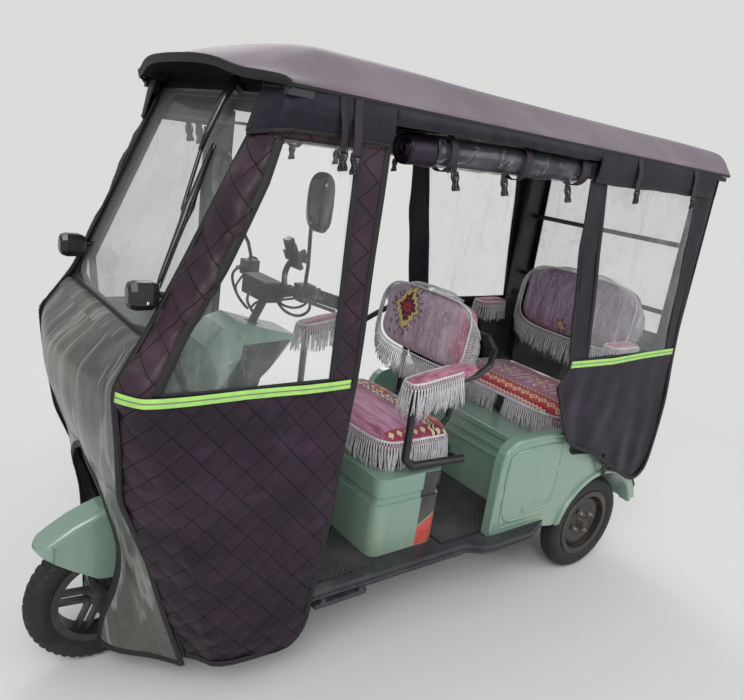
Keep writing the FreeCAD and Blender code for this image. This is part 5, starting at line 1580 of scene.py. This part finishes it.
def cushion(name, node, half_a, half_b, corner, thick, place, material, cap, lean=0.0, upright=False,
            crown=6.0, seg=120, rings=26):
    # a padded cover; returns its outline and how its plane is turned
    verts, faces, outline = pillow(half_a, half_b, corner, thick, crown, seg, rings)
    ripple_in = waves(verts[:, 0], verts[:, 1], 91 + len(name), 0.16) * 0.0016
    verts[:, 2] += ripple_in * np.sign(verts[:, 2]) * (np.abs(verts[:, 2]) > thick * 0.2)
    if upright:
        # the plane is (x, z), its face looks to the front
        turn = Matrix.Rotation(-lean, 3, "X")
        local = np.stack([verts[:, 0], -verts[:, 2], verts[:, 1]], 1)
    else:
        turn = Matrix.Rotation(lean, 3, "X")
        local = verts
    build = Build()
    build.add(local @ np.array(turn).T + np.array(place), faces, verts[:, :2])
    obj = build.piece(name, material)
    inflate(obj, cap)
    sub = obj.modifiers.new("Smooth", "SUBSURF")
    sub.levels = 1
    sub.render_levels = 1
    if node:
        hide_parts(node)
    return outline, np.array(turn).T


def fringe(build, path, outward, length, seed, gap=None, spread=0.25, rear=0.0):
    # a knotted net edge and hanging tassels along a path; outward is one direction for each point
    pitch = 0.0098
    net = 0.018
    step = 0.003
    rng = np.random.default_rng(seed)
    run = run_of(path)
    count = int(run[-1] / pitch)
    down = np.array((0.0, 0.0, -1.0))
    behind = np.array((0.0, 1.0, 0.0))

    def at(s, values):
        return np.stack([np.interp(s, run, values[:, i]) for i in range(3)], -1)

    edge = along(path, 0.010)
    edge_out = unit(at(np.linspace(0, run[-1], len(edge)), outward))
    sweep(build, edge + edge_out * 0.001, edge_out, 0.0075, 0.0045)
    for k in range(count + 1):
        s = k * run[-1] / count
        if gap and gap[0] < s < gap[1]:
            continue
        here = at(s, path)
        out = unit(at(s, outward))
        side = unit(at(s + step, path) - at(s - step, path))
        steep = abs(float(side @ down)) ** 1.5
        over = max(0.0, float(out[2])) if rear else 0.0
        wide = spread + 0.65 * steep
        fall = unit(down * (1 - 0.30 * steep) * (1 - over) + out * wide + behind * rear * max(steep, over))
        knot = here + fall * net + out * 0.0035
        for turn in (-1, 1):
            top = here + side * turn * pitch * 0.5 + out * 0.0035
            middle = (top + knot) / 2 + out * 0.001 + side * turn * 0.0012
            tube(build, [top, middle, knot], 0.00125, 4)
        rings = []
        for lift, r in ((-0.0036, 0.0018), (-0.0012, 0.0034), (0.0022, 0.0034), (0.0058, 0.0018)):
            p = knot + fall * lift
            rings.append([p + side * r * math.cos(a) + out * r * math.sin(a) for a in circle(6)])
        build.add(np.array(rings).reshape(-1, 3), grid_faces(4, 6, True))
        reach = length * rng.uniform(0.84, 1.10) * (1 - 0.30 * steep) * (1 - 0.45 * over)
        lean = side * rng.normal(0, 0.06)
        hang = unit(down * (1 - 0.25 * steep) * (1 - 0.8 * over) + behind * rear * max(0.6 * steep, over))
        for j in range(4):
            turn = math.tau * (j + rng.uniform(0, 0.7)) / 4
            offset = side * math.cos(turn) + out * math.sin(turn) * 0.8
            q = np.linspace(0, 1, 6)[:, None]
            fan_out = offset * (0.0014 + 0.0036 * q) + lean * reach * q ** 2 * 1.4
            curl = side * np.sin(q * rng.uniform(5, 11) + rng.uniform(0, 6)) * 0.0020 * q
            drop = out * wide * reach * (q - q ** 2 * 0.55) + hang * reach * rng.uniform(0.90, 1.04) * q
            tube(build, knot + fan_out + curl + drop, 0.00135, 3, 0.8)


def part_of(outline, start, end):
    # the part of an outline between two angles, in degrees
    start, end = math.radians(start), math.radians(end)
    angles = (np.arctan2(outline[:, 1], outline[:, 0]) - start) % math.tau
    order = np.argsort(angles)
    return outline[order[angles[order] <= (end - start) % math.tau + 1e-6]].T


def seat(name, cushion_name, half_a, half_b, thick, y, z, material, level, length, seed, gap=None):
    # a seat's cover, with a fringe round its front and sides, from the rear left corner to the rear right
    outline, _ = cushion(name + "_seat_cover", cushion_name, half_a, half_b, 0.05, thick, (0, y, z), material,
                         0.006, crown=9)
    a, b = part_of(outline, 180 - 22, 360 + 22)
    out = unit(np.stack([a ** 3 / 0.02, b ** 3 / (half_b ** 2 * 0.4), 0 * a], 1))
    yarns = Build()
    fringe(yarns, np.stack([a, b + y, np.full(len(a), level)], 1) + out * 0.003, out, length, seed, gap)
    yarns.piece(name + "_seat_fringe", "yarn")


seat("driver", "driver_cushion", 0.284, 0.168, 0.078, -0.0425, 0.684, "driver", 0.698, 0.086, 101)
seat("bench", "bench_cushion", 0.344, 0.211, 0.098, 0.794, 0.6775, "bench", 0.704, 0.080, 103, (0.688, 0.738))
loop = Build()
sweep(loop, along([(0.062, 0.5730, 0.700), (0.062, 0.5715, 0.640)], 0.01), (0, -1, 0), 0.036, 0.003)
loop.piece("bench_seat_loop", "black_strap")


def backrest(name, half_a, half_b, corner, thick, foot, up, length, seed):
    # a backrest's cover, with a fringe all round its front edge but for the top middle
    lean = math.radians(7)
    centre = np.array(foot) + np.array(Matrix.Rotation(-lean, 3, "X")) @ np.array(up)
    outline, turn = cushion(name + "_back_cover", name + "_backrest", half_a, half_b, corner, thick, centre,
                            name + "_back", 0.008, lean, True, crown=5)
    a, b = part_of(outline, 90 + 3, 360 + 90 - 3)
    out = unit(np.stack([a ** 3 / 0.01, 0 * a, b ** 3 / 0.01], 1)) @ turn
    points = np.stack([a * 0.965, np.full(len(a), -thick * 0.40), b * 0.965], 1) @ turn + centre
    yarns = Build()
    fringe(yarns, points, unit(out + np.array((0, -0.35, 0))), length, seed, spread=0.35, rear=0.7)
    yarns.piece(name + "_back_fringe", "yarn")


backrest("driver", 0.250, 0.127, 0.09, 0.058, (0, 0.108, 0.885), (0, 0.033, 0.130), 0.072, 105)
backrest("bench", 0.307, 0.148, 0.11, 0.070, (0, 0.985, 0.905), (0, 0.039, 0.1515), 0.078, 107)


def arm_pad(name, tag, place, half_b, lean, length, seed, node=None):
    # a cover over an arm tube or a bench guard, with a fringe on both long sides and the front
    half_a = 0.033
    thick = 0.046
    outline, turn = cushion(name + "_arm_pad_" + tag, node, half_a, half_b, 0.02, thick, place, "pad", 0.004,
                            lean,
                            crown=5, seg=64, rings=14)
    a, b = part_of(outline, 90 + 28, 360 + 90 - 28)
    out = unit(np.stack([a / half_a, (b / half_b) ** 5 * 0.8, 0 * a], 1))
    points = np.stack([a * 0.97, b * 0.99, np.full(len(a), thick * 0.24)], 1) @ turn + np.array(place)
    yarns = Build()
    fringe(yarns, points + out * 0.002, out, length, seed, spread=0.16)
    yarns.piece(name + "_arm_fringe_" + tag, "yarn")


for side, tag in SIDES:
    arm_pad("driver", tag, (side * 0.333, -0.047, 0.9365), 0.138, math.radians(8.5), 0.092, 109 + side,
            "arm_pads" if side == LEFT else None)
    arm_pad("bench", tag, (side * 0.363, 0.875, 0.9815), 0.083, 0.0, 0.070, 113 + side)


# Tyres with moulded tread

# half a section, from the middle of the tread to the bead, in mm: sideways, radius
TYRE_HALF = [(0, 209.6), (12, 208.8), (24, 205.5), (31.5, 200.5), (36.5, 193), (39.5, 182), (40, 171),
             (37.5, 160),
             (31, 150), (29.5, 140), (28.5, 128.5)]


def edge_of(value, middle, half_wide, slope):
    # 0 within the half width of the middle, rising to 1 past it
    return np.clip((np.abs(value - middle) - half_wide) / slope, 0, 1)


def tyre(name, node, centre, body, knobby):
    around = 300
    across = 44
    profile = [(-x, radius) for x, radius in TYRE_HALF[:0:-1]] + TYRE_HALF
    section = even(chaikin(np.array(profile) * MM, 2), across)[0]
    aa, ss = np.meshgrid(circle(around), np.linspace(-1, 1, across), indexing="ij")
    off = np.abs(ss)
    if knobby:
        blocks = (aa * 46 / math.tau + off * 1.6) % 1
        depth = -0.0042 * (1 - np.minimum(edge_of(blocks, 0.5, 0.16, 0.07), edge_of(off, 0.20, 0.035, 0.02)))
    else:
        zig = 0.035 * np.sign(np.sin(aa * 60))
        grooves = [edge_of(ss - zig, c, 0.018, 0.012) for c in (-0.34, -0.12, 0.12, 0.34)]
        sipes = np.where(off > 0.40, edge_of((aa * 90 / math.tau) % 1, 0.5, 0.10, 0.08), 1)
        depth = -0.0034 * (1 - np.minimum.reduce(grooves + [sipes]))
    radius = section[:, 1] + depth * np.clip((0.58 - off) / 0.04, 0, 1)
    side = np.broadcast_to(section[:, 0], aa.shape)
    points = np.stack([side + centre[0], centre[1] + radius * np.cos(aa),
                       centre[2] + radius * np.sin(aa)], -1)
    # the rings close on themselves both round the wheel and round the section
    faces = []
    for i in range(around):
        k = (i + 1) % around
        for j in range(across):
            n = (j + 1) % across
            faces.append((i * across + j, i * across + n, k * across + n, k * across + j))
    build = Build()
    build.add(points, faces)
    obj = build.piece(name, "tyre", body=body)
    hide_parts(node)
    return obj


tyre("front_tread", "front_tyre", (0, -1.0, 0.211), "front_wheel", True)
tyre("rear_tread_left", "rear_tyre_left", (0.348, 0.88, 0.211), "rear_wheel_left", False)
tyre("rear_tread_right", "rear_tyre_right", (-0.348, 0.88, 0.211), "rear_wheel_right", False)


# washer, nut, its chamfer and the bolt's end: sides, first and last radius, where it starts and ends
NUT = [(16, 0.011, 0.011, 0.0, 0.0035), (6, 0.009, 0.009, 0.003, 0.013), (6, 0.009, 0.0065, 0.013, 0.016),
       (16, 0.0045, 0.004, 0.012, 0.024)]
for side, tag in SIDES:
    nuts = Build()
    for turn in (0.5 + math.tau * k / 4 for k in range(4)):
        middle = np.array((side * 0.364, 0.88 + 0.050 * math.cos(turn), 0.211 + 0.050 * math.sin(turn)))
        for sides, r0, r1, x0, x1 in NUT:
            a = circle(sides)
            rings = [middle + np.stack([np.full(sides, side * x), r * np.cos(a), r * np.sin(a)], 1)
                     for x, r in ((x0, r0), (x1, r1))]
            nuts.add(np.array(rings), rod_faces(2, sides))
    nuts.piece("wheel_nuts_" + tag, "rust", body="rear_wheel_" + tag, smooth=False)


# Wiper arm and blade holder, over the plain rods of the wiper

def on_screen(u, v, out):
    return SCREEN_LOW + np.array((u * MM, 0, 0)) + SCREEN_UP * v + SCREEN_OUT * (out * MM)


def bar(build, stations):
    # a bar of changing width and depth: columns are place, half width, half depth
    rows = []
    run = unit(np.gradient(np.array([place for place, _, _ in stations]), axis=0))
    for (place, half, deep), ahead in zip(stations, run):
        side = unit(np.cross(ahead, SCREEN_OUT))
        out = unit(np.cross(side, ahead))
        rows.append([place + side * a * half + out * b * deep for a, b in
                     ((-1, -0.7), (-0.8, 0.6), (-0.35, 1), (0.35, 1), (0.8, 0.6), (1, -0.7))])
    build.add(np.array(rows), rod_faces(len(rows), 6))


build = Build()
# x, place past the top of the glass, height over it, half width, half depth
bar(build, [(on_screen(x, SCREEN_LONG + past, out), half, deep) for x, past, out, half, deep in
            ((170, 0.030, 34, 0.012, 0.006), (170, 0.008, 38, 0.018, 0.010), (174, -0.050, 42, 0.016, 0.009),
             (180, -0.130, 43, 0.009, 0.006), (184, -0.178, 40, 0.005, 0.005))])
low_end = on_screen(270, 0.097, 19)
high_end = on_screen(190, 0.470, 19)
bar(build, [(high_end + (low_end - high_end) * share, half, deep) for share, half, deep in
            ((0, 0.002, 0.003), (0.06, 0.006, 0.006), (0.36, 0.010, 0.009), (0.45, 0.013, 0.013),
             (0.56, 0.010, 0.009), (0.94, 0.006, 0.006), (1, 0.002, 0.003))])
build.piece("wiper_arm", "gloss_plastic")


def mirror_dome(build, centre, half_x, half_z, deep, ahead):
    # a shell with rounded outline; ahead is -1 for the front and 1 for the rear
    seg = 40
    outline = superellipse(circle(seg), half_x, half_z, 3.4)
    rows = []
    for turn in np.linspace(0, 1, 9) * math.pi / 2:
        a, b = (outline * max(0.02, math.cos(turn) ** 0.55)).T
        rows.append(np.stack([a, np.full(seg, ahead * deep * math.sin(turn)), b], 1) + centre)
    tip = tuple(8 * seg + i for i in range(seg))
    build.add(np.array(rows), grid_faces(9, seg, True, ahead > 0) + [tip[::-1] if ahead > 0 else tip])


shells = Build()
faces_of_glass = Build()
for side in (-1, 1):
    centre = np.array((side * 0.300, -0.553, 1.450))
    mirror_dome(shells, centre, 0.0465, 0.0775, 0.030, -1)
    mirror_dome(shells, centre, 0.0465, 0.0775, 0.0115, 1)
    mirror_dome(faces_of_glass, centre + (0, 0.0105, 0), 0.0400, 0.0700, 0.0030, 1)
shells.piece("mirror_shells", "gloss_black", body="steering")
faces_of_glass.piece("mirror_faces", "mirror", body="steering")


# Fittings on the bars: ribbed grips, cables and a phone holder, all turning with the steering

HUB = np.array((0.0, -0.5254, 1.1270))


def smooth_line(points, spacing=0.005):
    return along(chaikin(np.array(points, float), 3), spacing)


def slab(build, centre, up, half_wide, half_tall, half_deep):
    # a block as wide as the x axis says, standing along the up direction
    out = np.cross(OUTWARD, up)
    corners = [centre + OUTWARD * a * half_wide + up * b * half_tall + out * c * half_deep
               for c in (-1, 1) for a, b in ((-1, -1), (1, -1), (1, 1), (-1, 1))]
    build.add(np.array(corners), [(3, 2, 1, 0), (4, 5, 6, 7), (0, 1, 5, 4), (1, 2, 6, 5), (2, 3, 7, 6),
                                  (3, 0, 4, 7)])


# places from the hub, and the radius
CABLES = [
    ([(0.158, 0.010, 0.048), (0.120, -0.045, 0.062), (0.070, -0.088, 0.046), (0.030, -0.082, -0.006),
      (0.020, -0.052, -0.042)], 0.0042),
    ([(0.168, 0.008, 0.034), (0.128, -0.030, 0.018), (0.080, -0.068, 0.006), (0.034, -0.066, -0.026),
      (0.012, -0.050, -0.044)], 0.0036),
    ([(0.176, 0.046, 0.034), (0.170, 0.058, -0.004), (0.128, 0.046, -0.036), (0.074, 0.022, -0.030),
      (0.030, 0.012, 0.006)], 0.0044),
    ([(0.160, 0.044, 0.040), (0.146, 0.060, 0.010), (0.104, 0.044, -0.016), (0.060, 0.020, -0.014),
      (0.040, 0.008, 0.010)], 0.0040),
]
GRIP_NEAR = HUB + (0.2070, 0.0495, 0.0503)
GRIP_RUN = HUB + (0.3030, 0.1039, 0.0402) - GRIP_NEAR
# along the grip: middle, half length and radius of its ribs and end rings
RINGS = [(share, 0.016, 0.0196) for share in np.linspace(0.06, 0.94, 10)]
RINGS += [(0, 0.020, 0.0235), (1, 0.020, 0.0225)]

grips = Build()
cables = Build()
for side, _ in SIDES:
    one = Build()
    tube(one, GRIP_NEAR + GRIP_RUN * np.linspace(0, 1, 5)[:, None], 0.0182, 16)
    for share, half, radius in RINGS:
        tube(one, [GRIP_NEAR + GRIP_RUN * (share - half), GRIP_NEAR + GRIP_RUN * (share + half)], radius, 16)
    grips.take(one, flip=side == RIGHT)
    one = Build()
    for route, radius in CABLES:
        tube(one, HUB + smooth_line(route), radius, 8)
    cables.take(one, flip=side == RIGHT)
grips.piece("bar_grips", "rubber", body="steering")
cables.piece("bar_cables", "rubber", body="steering")

holder = Build()
stalk = smooth_line([(0.112, 0.002, 0.036), (0.100, 0.000, 0.070), (0.092, 0.006, 0.100),
                     (0.104, 0.012, 0.126)])
tube(holder, HUB + stalk, 0.0085, 10)
tube(holder, [HUB + (0.100, 0.010, 0.037), HUB + (0.122, 0.010, 0.045)], 0.0185, 14)
lean = unit(np.array((0.0, -0.42, 0.91)))
heart = HUB + (0.106, 0.020, 0.146)
slab(holder, heart, lean, 0.028, 0.040, 0.006)
slab(holder, heart + lean * 0.047, lean, 0.016, 0.008, 0.010)
for a in (-1, 1):
    slab(holder, heart + (a * 0.034, 0.004, 0.002), lean, 0.007, 0.016, 0.013)
    slab(holder, heart + (a * 0.040, 0.014, 0.006), lean, 0.004, 0.020, 0.006)
holder.piece("phone_holder", "gloss_plastic", body="steering", smooth=False)


# Rolled rims and pressed lines on the side panels, as tubes sunk into the sheet

# (x of the middle, radius, closed, places as (y, z)) in mm
BEADS = [
    (404.5, 10.0, False, [(249, 328), (249, 604), (257, 638), (274, 660), (296, 675), (326, 681), (556, 681),
                          (583, 667), (597, 643)]),
    (409.5, 5.6, True, [(282, 362), (282, 598), (294, 628), (328, 646), (556, 646), (570, 624), (570, 450),
                        (548, 362)]),
    (411.0, 4.4, True, [(398, 384), (540, 384), (548, 412), (406, 412)]),
    (408.0, 4.0, False, [(298, 342), (536, 342)]),
]
for side, tag in SIDES:
    beads = Build()
    for x, radius, closed, places in BEADS:
        places = np.array(places, float)
        if closed:
            middle = (places[0] + places[-1]) / 2
            places = np.concatenate([[middle], places, [middle]])
        line = chaikin(places, 2) * MM
        tube(beads, along(np.insert(line, 0, x * MM, axis=1), 0.008), radius * MM, 10)
    # the rim over the wheel arch
    arc = np.linspace(math.radians(16.5), math.radians(163.5), 60)
    rim = np.stack([np.full(60, 0.4130), 0.88 - 0.2545 * np.cos(arc), 0.211 + 0.2545 * np.sin(arc)], 1)
    tube(beads, rim, 0.0095, 12)
    beads.piece("panel_beads_" + tag, "mint", flip=side == RIGHT)


# The fender's nose: its side walls carried round the front, above the tyre

# in mm: (y, z) of the walls' upper and lower edge, and the arc of the front in plan
FENDER_TOP = [(-1182, 418), (-1140, 449), (-1085, 483)]
FENDER_LOW = [(-1182, 411), (-1089, 342)]
ARC_Y = -1129.5
ARC_RADIUS = 52.5


def fender_nose():
    x = np.linspace(-52, 52, 45)
    y = np.maximum(ARC_Y - np.sqrt(np.maximum(ARC_RADIUS ** 2 - x ** 2, 0)), -1182.0)
    # the top follows the fender's rounded edges, 1.5 mm under its skin
    drop = 20 - np.sqrt(np.maximum(400 - np.maximum(np.abs(x) - 32, 0) ** 2, 0))
    top = np.interp(y, *np.array(FENDER_TOP, float).T) - drop - 1.5
    low = np.interp(y, *np.array(FENDER_LOW, float).T)
    out = unit(np.stack([x, y - ARC_Y], 1))
    rows = []
    for q in np.linspace(0, 1, 9):
        bulge = 0.5 + 2.2 * math.sin(q * math.pi)
        rows.append(np.stack([x + out[:, 0] * bulge, np.maximum(y + out[:, 1] * bulge, -1183.5),
                              low + (top - low) * q], 1) * MM)
    nose = Build()
    nose.add(np.array(rows), grid_faces(9, 45))
    return nose.piece("fender_nose", "mint", body="steering", thick=0.0022)


fender_nose()


# Turn signals: faceted housings on short arms, each with a bright screw

# (x, z) of the housing's outline in mm, and the place and the size of each of its rings
SIGNAL = np.array([(-22, -18), (-14, -34), (12, -34), (22, -20), (22, 14), (13, 32), (-15, 32),
                   (-22, 16)]) * MM
SIGNAL_RINGS = ((-1.049, 0.60), (-1.044, 0.86), (-1.030, 1.0), (-0.994, 0.98), (-0.980, 0.80), (-0.976, 0.55))

signals = Build()
screws = Build()
for side, _ in SIDES:
    one = Build()
    rings = [[(0.309 + a * share, y, 1.213 + b * share) for a, b in SIGNAL] for y, share in SIGNAL_RINGS]
    one.add(np.array(rings), rod_faces(len(rings), 8))
    tube(one, [(0.320, -0.950, 1.2150), (0.317, -0.965, 1.2150), (0.312, -0.985, 1.2150)], 0.007, 10)
    signals.take(one, flip=side == RIGHT)
    one = Build()
    rings = [[(x, -1.006 + r * math.cos(a), 1.198 + r * math.sin(a)) for a in circle(12)]
             for x, r in ((0.3305, 0.0050), (0.3322, 0.0046), (0.3330, 0.0028))]
    one.add(np.array(rings), rod_faces(3, 12))
    screws.take(one, flip=side == RIGHT)
housing = signals.piece("signal_housings", "gloss_plastic", smooth=False)
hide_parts("turn_signals")
screws.piece("signal_screws", "chrome")


# Materials on the CAD pieces that stay

KEPT = {
    "chassis_frame": "black_steel", "rear_axle": "dark_steel", "floor_pan": "floor_edge", "floor_mats": "mat",
    "leg_shield": "cowl", "dash_insert": "plastic", "head_lamp": "chrome", "seat_box": "seat_box",
    "battery_pack": "battery", "driver_seat_frame": "black_steel", "bench_box": "mint",
    "bench_side_guards": "plastic",
    "tail_panel": "mint", "side_panels": "mint", "canopy_frame": "black_steel", "windshield_glass": "glass",
    "windshield_frame": "dark_plastic", "wiper": "gloss_plastic", "rear_bumper": "black_steel",
    "fork": "black_steel", "handlebar": "rubber", "mirrors": "gloss_plastic", "front_fender": "mint",
    "front_rim": "black_alloy", "rear_rim_left": "brown_steel", "rear_rim_right": "brown_steel",
    "tail_lamps": "red_lens",
}
# the width of the rounded edges, in metres
ROUNDED = {"side_panels": 0.004, "seat_box": 0.003, "bench_box": 0.004, "leg_shield": 0.004,
           "tail_panel": 0.003,
           "front_fender": 0.003, "dash_insert": 0.003, "handlebar": 0.004, "floor_pan": 0.003}
for node, width in ROUNDED.items():
    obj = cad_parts[node]
    join = obj.modifiers.new("Join", "WELD")
    join.merge_threshold = 0.00005
    soft = obj.modifiers.new("Soft edges", "BEVEL")
    soft.width = width
    soft.segments = 3
    soft.limit_method = "ANGLE"
    soft.angle_limit = math.radians(32)
    soft.use_clamp_overlap = True
    soft.harden_normals = True
for node, material in KEPT.items():
    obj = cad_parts[node]
    obj.data.materials.clear()
    obj.data.materials.append(MATS[material])


# Studio: a pale floor, a soft sky, three soft lamps, the photograph's camera

def floor_material():
    # matt near the vehicle, fading into the even backdrop further out
    g = Graph("studio_floor")
    x, y = g.xyz()[:2]
    radius = (x * x + y * y).power(0.5)
    g.finish(g.mix(g.noise(2, 2), (0.70, 0.70, 0.69), (0.69, 0.69, 0.68)), 0.85)
    glow = g.tree.nodes.new("ShaderNodeEmission")
    glow.inputs["Color"].default_value = (0.714, 0.714, 0.706, 1)
    blend = g.tree.nodes.new("ShaderNodeMixShader")
    g.plug(radius.soft(1.7, 4.2), blend.inputs["Fac"])
    g.tree.links.new(g.shader.outputs[0], blend.inputs[1])
    g.tree.links.new(glow.outputs[0], blend.inputs[2])
    g.tree.links.new(blend.outputs[0], g.output.inputs["Surface"])
    return g.material


def linked(name, data):
    obj = bpy.data.objects.new(name, data)
    bpy.context.collection.objects.link(obj)
    return obj


floor_mesh = bpy.data.meshes.new("studio_floor")
floor_mesh.from_pydata([(-14, -14, 0), (14, -14, 0), (14, 14, 0), (-14, 14, 0)], [], [(0, 1, 2, 3)])
floor_mesh.materials.append(floor_material())
floor_obj = linked("studio_floor", floor_mesh)
floor_obj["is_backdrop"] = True

world = bpy.data.worlds.new("studio")
bpy.context.scene.world = world
world.use_nodes = True
tree = world.node_tree
back_node = tree.nodes["Background"]
coords = tree.nodes.new("ShaderNodeTexCoord")
split = tree.nodes.new("ShaderNodeSeparateXYZ")
ramp = tree.nodes.new("ShaderNodeValToRGB")
tree.links.new(coords.outputs["Generated"], split.inputs[0])
tree.links.new(split.outputs["Z"], ramp.inputs["Fac"])
ramp.color_ramp.elements[0].color = (0.42, 0.43, 0.44, 1)
ramp.color_ramp.elements[1].color = (0.95, 0.97, 1.0, 1)
path = tree.nodes.new("ShaderNodeLightPath")
sky = tree.nodes.new("ShaderNodeMix")
sky.data_type = "RGBA"
tree.links.new(path.outputs["Is Camera Ray"], sky.inputs[0])
tree.links.new(ramp.outputs["Color"], sky.inputs[6])
sky.inputs[7].default_value = (0.84, 0.84, 0.83, 1)
tree.links.new(sky.outputs[2], back_node.inputs["Color"])
back_node.inputs["Strength"].default_value = 0.85


def area(name, place, target, size, power, color=(1, 1, 1)):
    lamp = bpy.data.lights.new(name, "AREA")
    lamp.shape = "RECTANGLE"
    lamp.size, lamp.size_y = size
    lamp.energy = power
    lamp.color = color
    obj = linked(name, lamp)
    obj.location = place
    obj.rotation_euler = (Vector(target) - Vector(place)).to_track_quat("-Z", "Y").to_euler()


area("key", (3.4, -3.2, 4.2), (0, 0, 0.8), (3.0, 2.4), 150, (1.0, 0.985, 0.96))
area("fill", (4.2, 2.8, 2.6), (0, 0.2, 0.8), (2.6, 2.6), 60, (0.95, 0.98, 1.0))
area("rim", (-3.6, 1.5, 3.4), (0, 0, 1.0), (2.5, 2.5), 70)

# the camera solved from the photograph
yaw, pitch, roll = (math.radians(v) for v in (51.47, 16.06, 8.04))
back_dir = Vector((math.sin(yaw) * math.cos(pitch), -math.cos(yaw) * math.cos(pitch), math.sin(pitch)))
right = (-back_dir).cross(Vector((0, 0, 1))).normalized()
up = right.cross(-back_dir)
right_rolled = math.cos(roll) * right + math.sin(roll) * up
up_rolled = -math.sin(roll) * right + math.cos(roll) * up
# the photograph's size, and the lens and the middle of the view in its pixels
WIDE, TALL = 744, 700
LENS, MIDDLE_X, MIDDLE_Y = 694.1, 373.9, 348.7
camera_data = bpy.data.cameras.new("camera")
camera_data.sensor_width = 36
camera_data.lens = LENS / WIDE * camera_data.sensor_width
camera_data.shift_x = -(MIDDLE_X - WIDE / 2) / WIDE
camera_data.shift_y = (MIDDLE_Y - TALL / 2) / WIDE
camera_data.clip_start = 0.05
camera = linked("camera", camera_data)
camera.matrix_world = Matrix(((right_rolled.x, up_rolled.x, back_dir.x, 1.8484),
                              (right_rolled.y, up_rolled.y, back_dir.y, -1.5474),
                              (right_rolled.z, up_rolled.z, back_dir.z, 1.6062),
                              (0, 0, 0, 1)))
bpy.context.scene.camera = camera
bpy.context.scene.view_settings.view_transform = "Standard"

low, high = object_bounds()
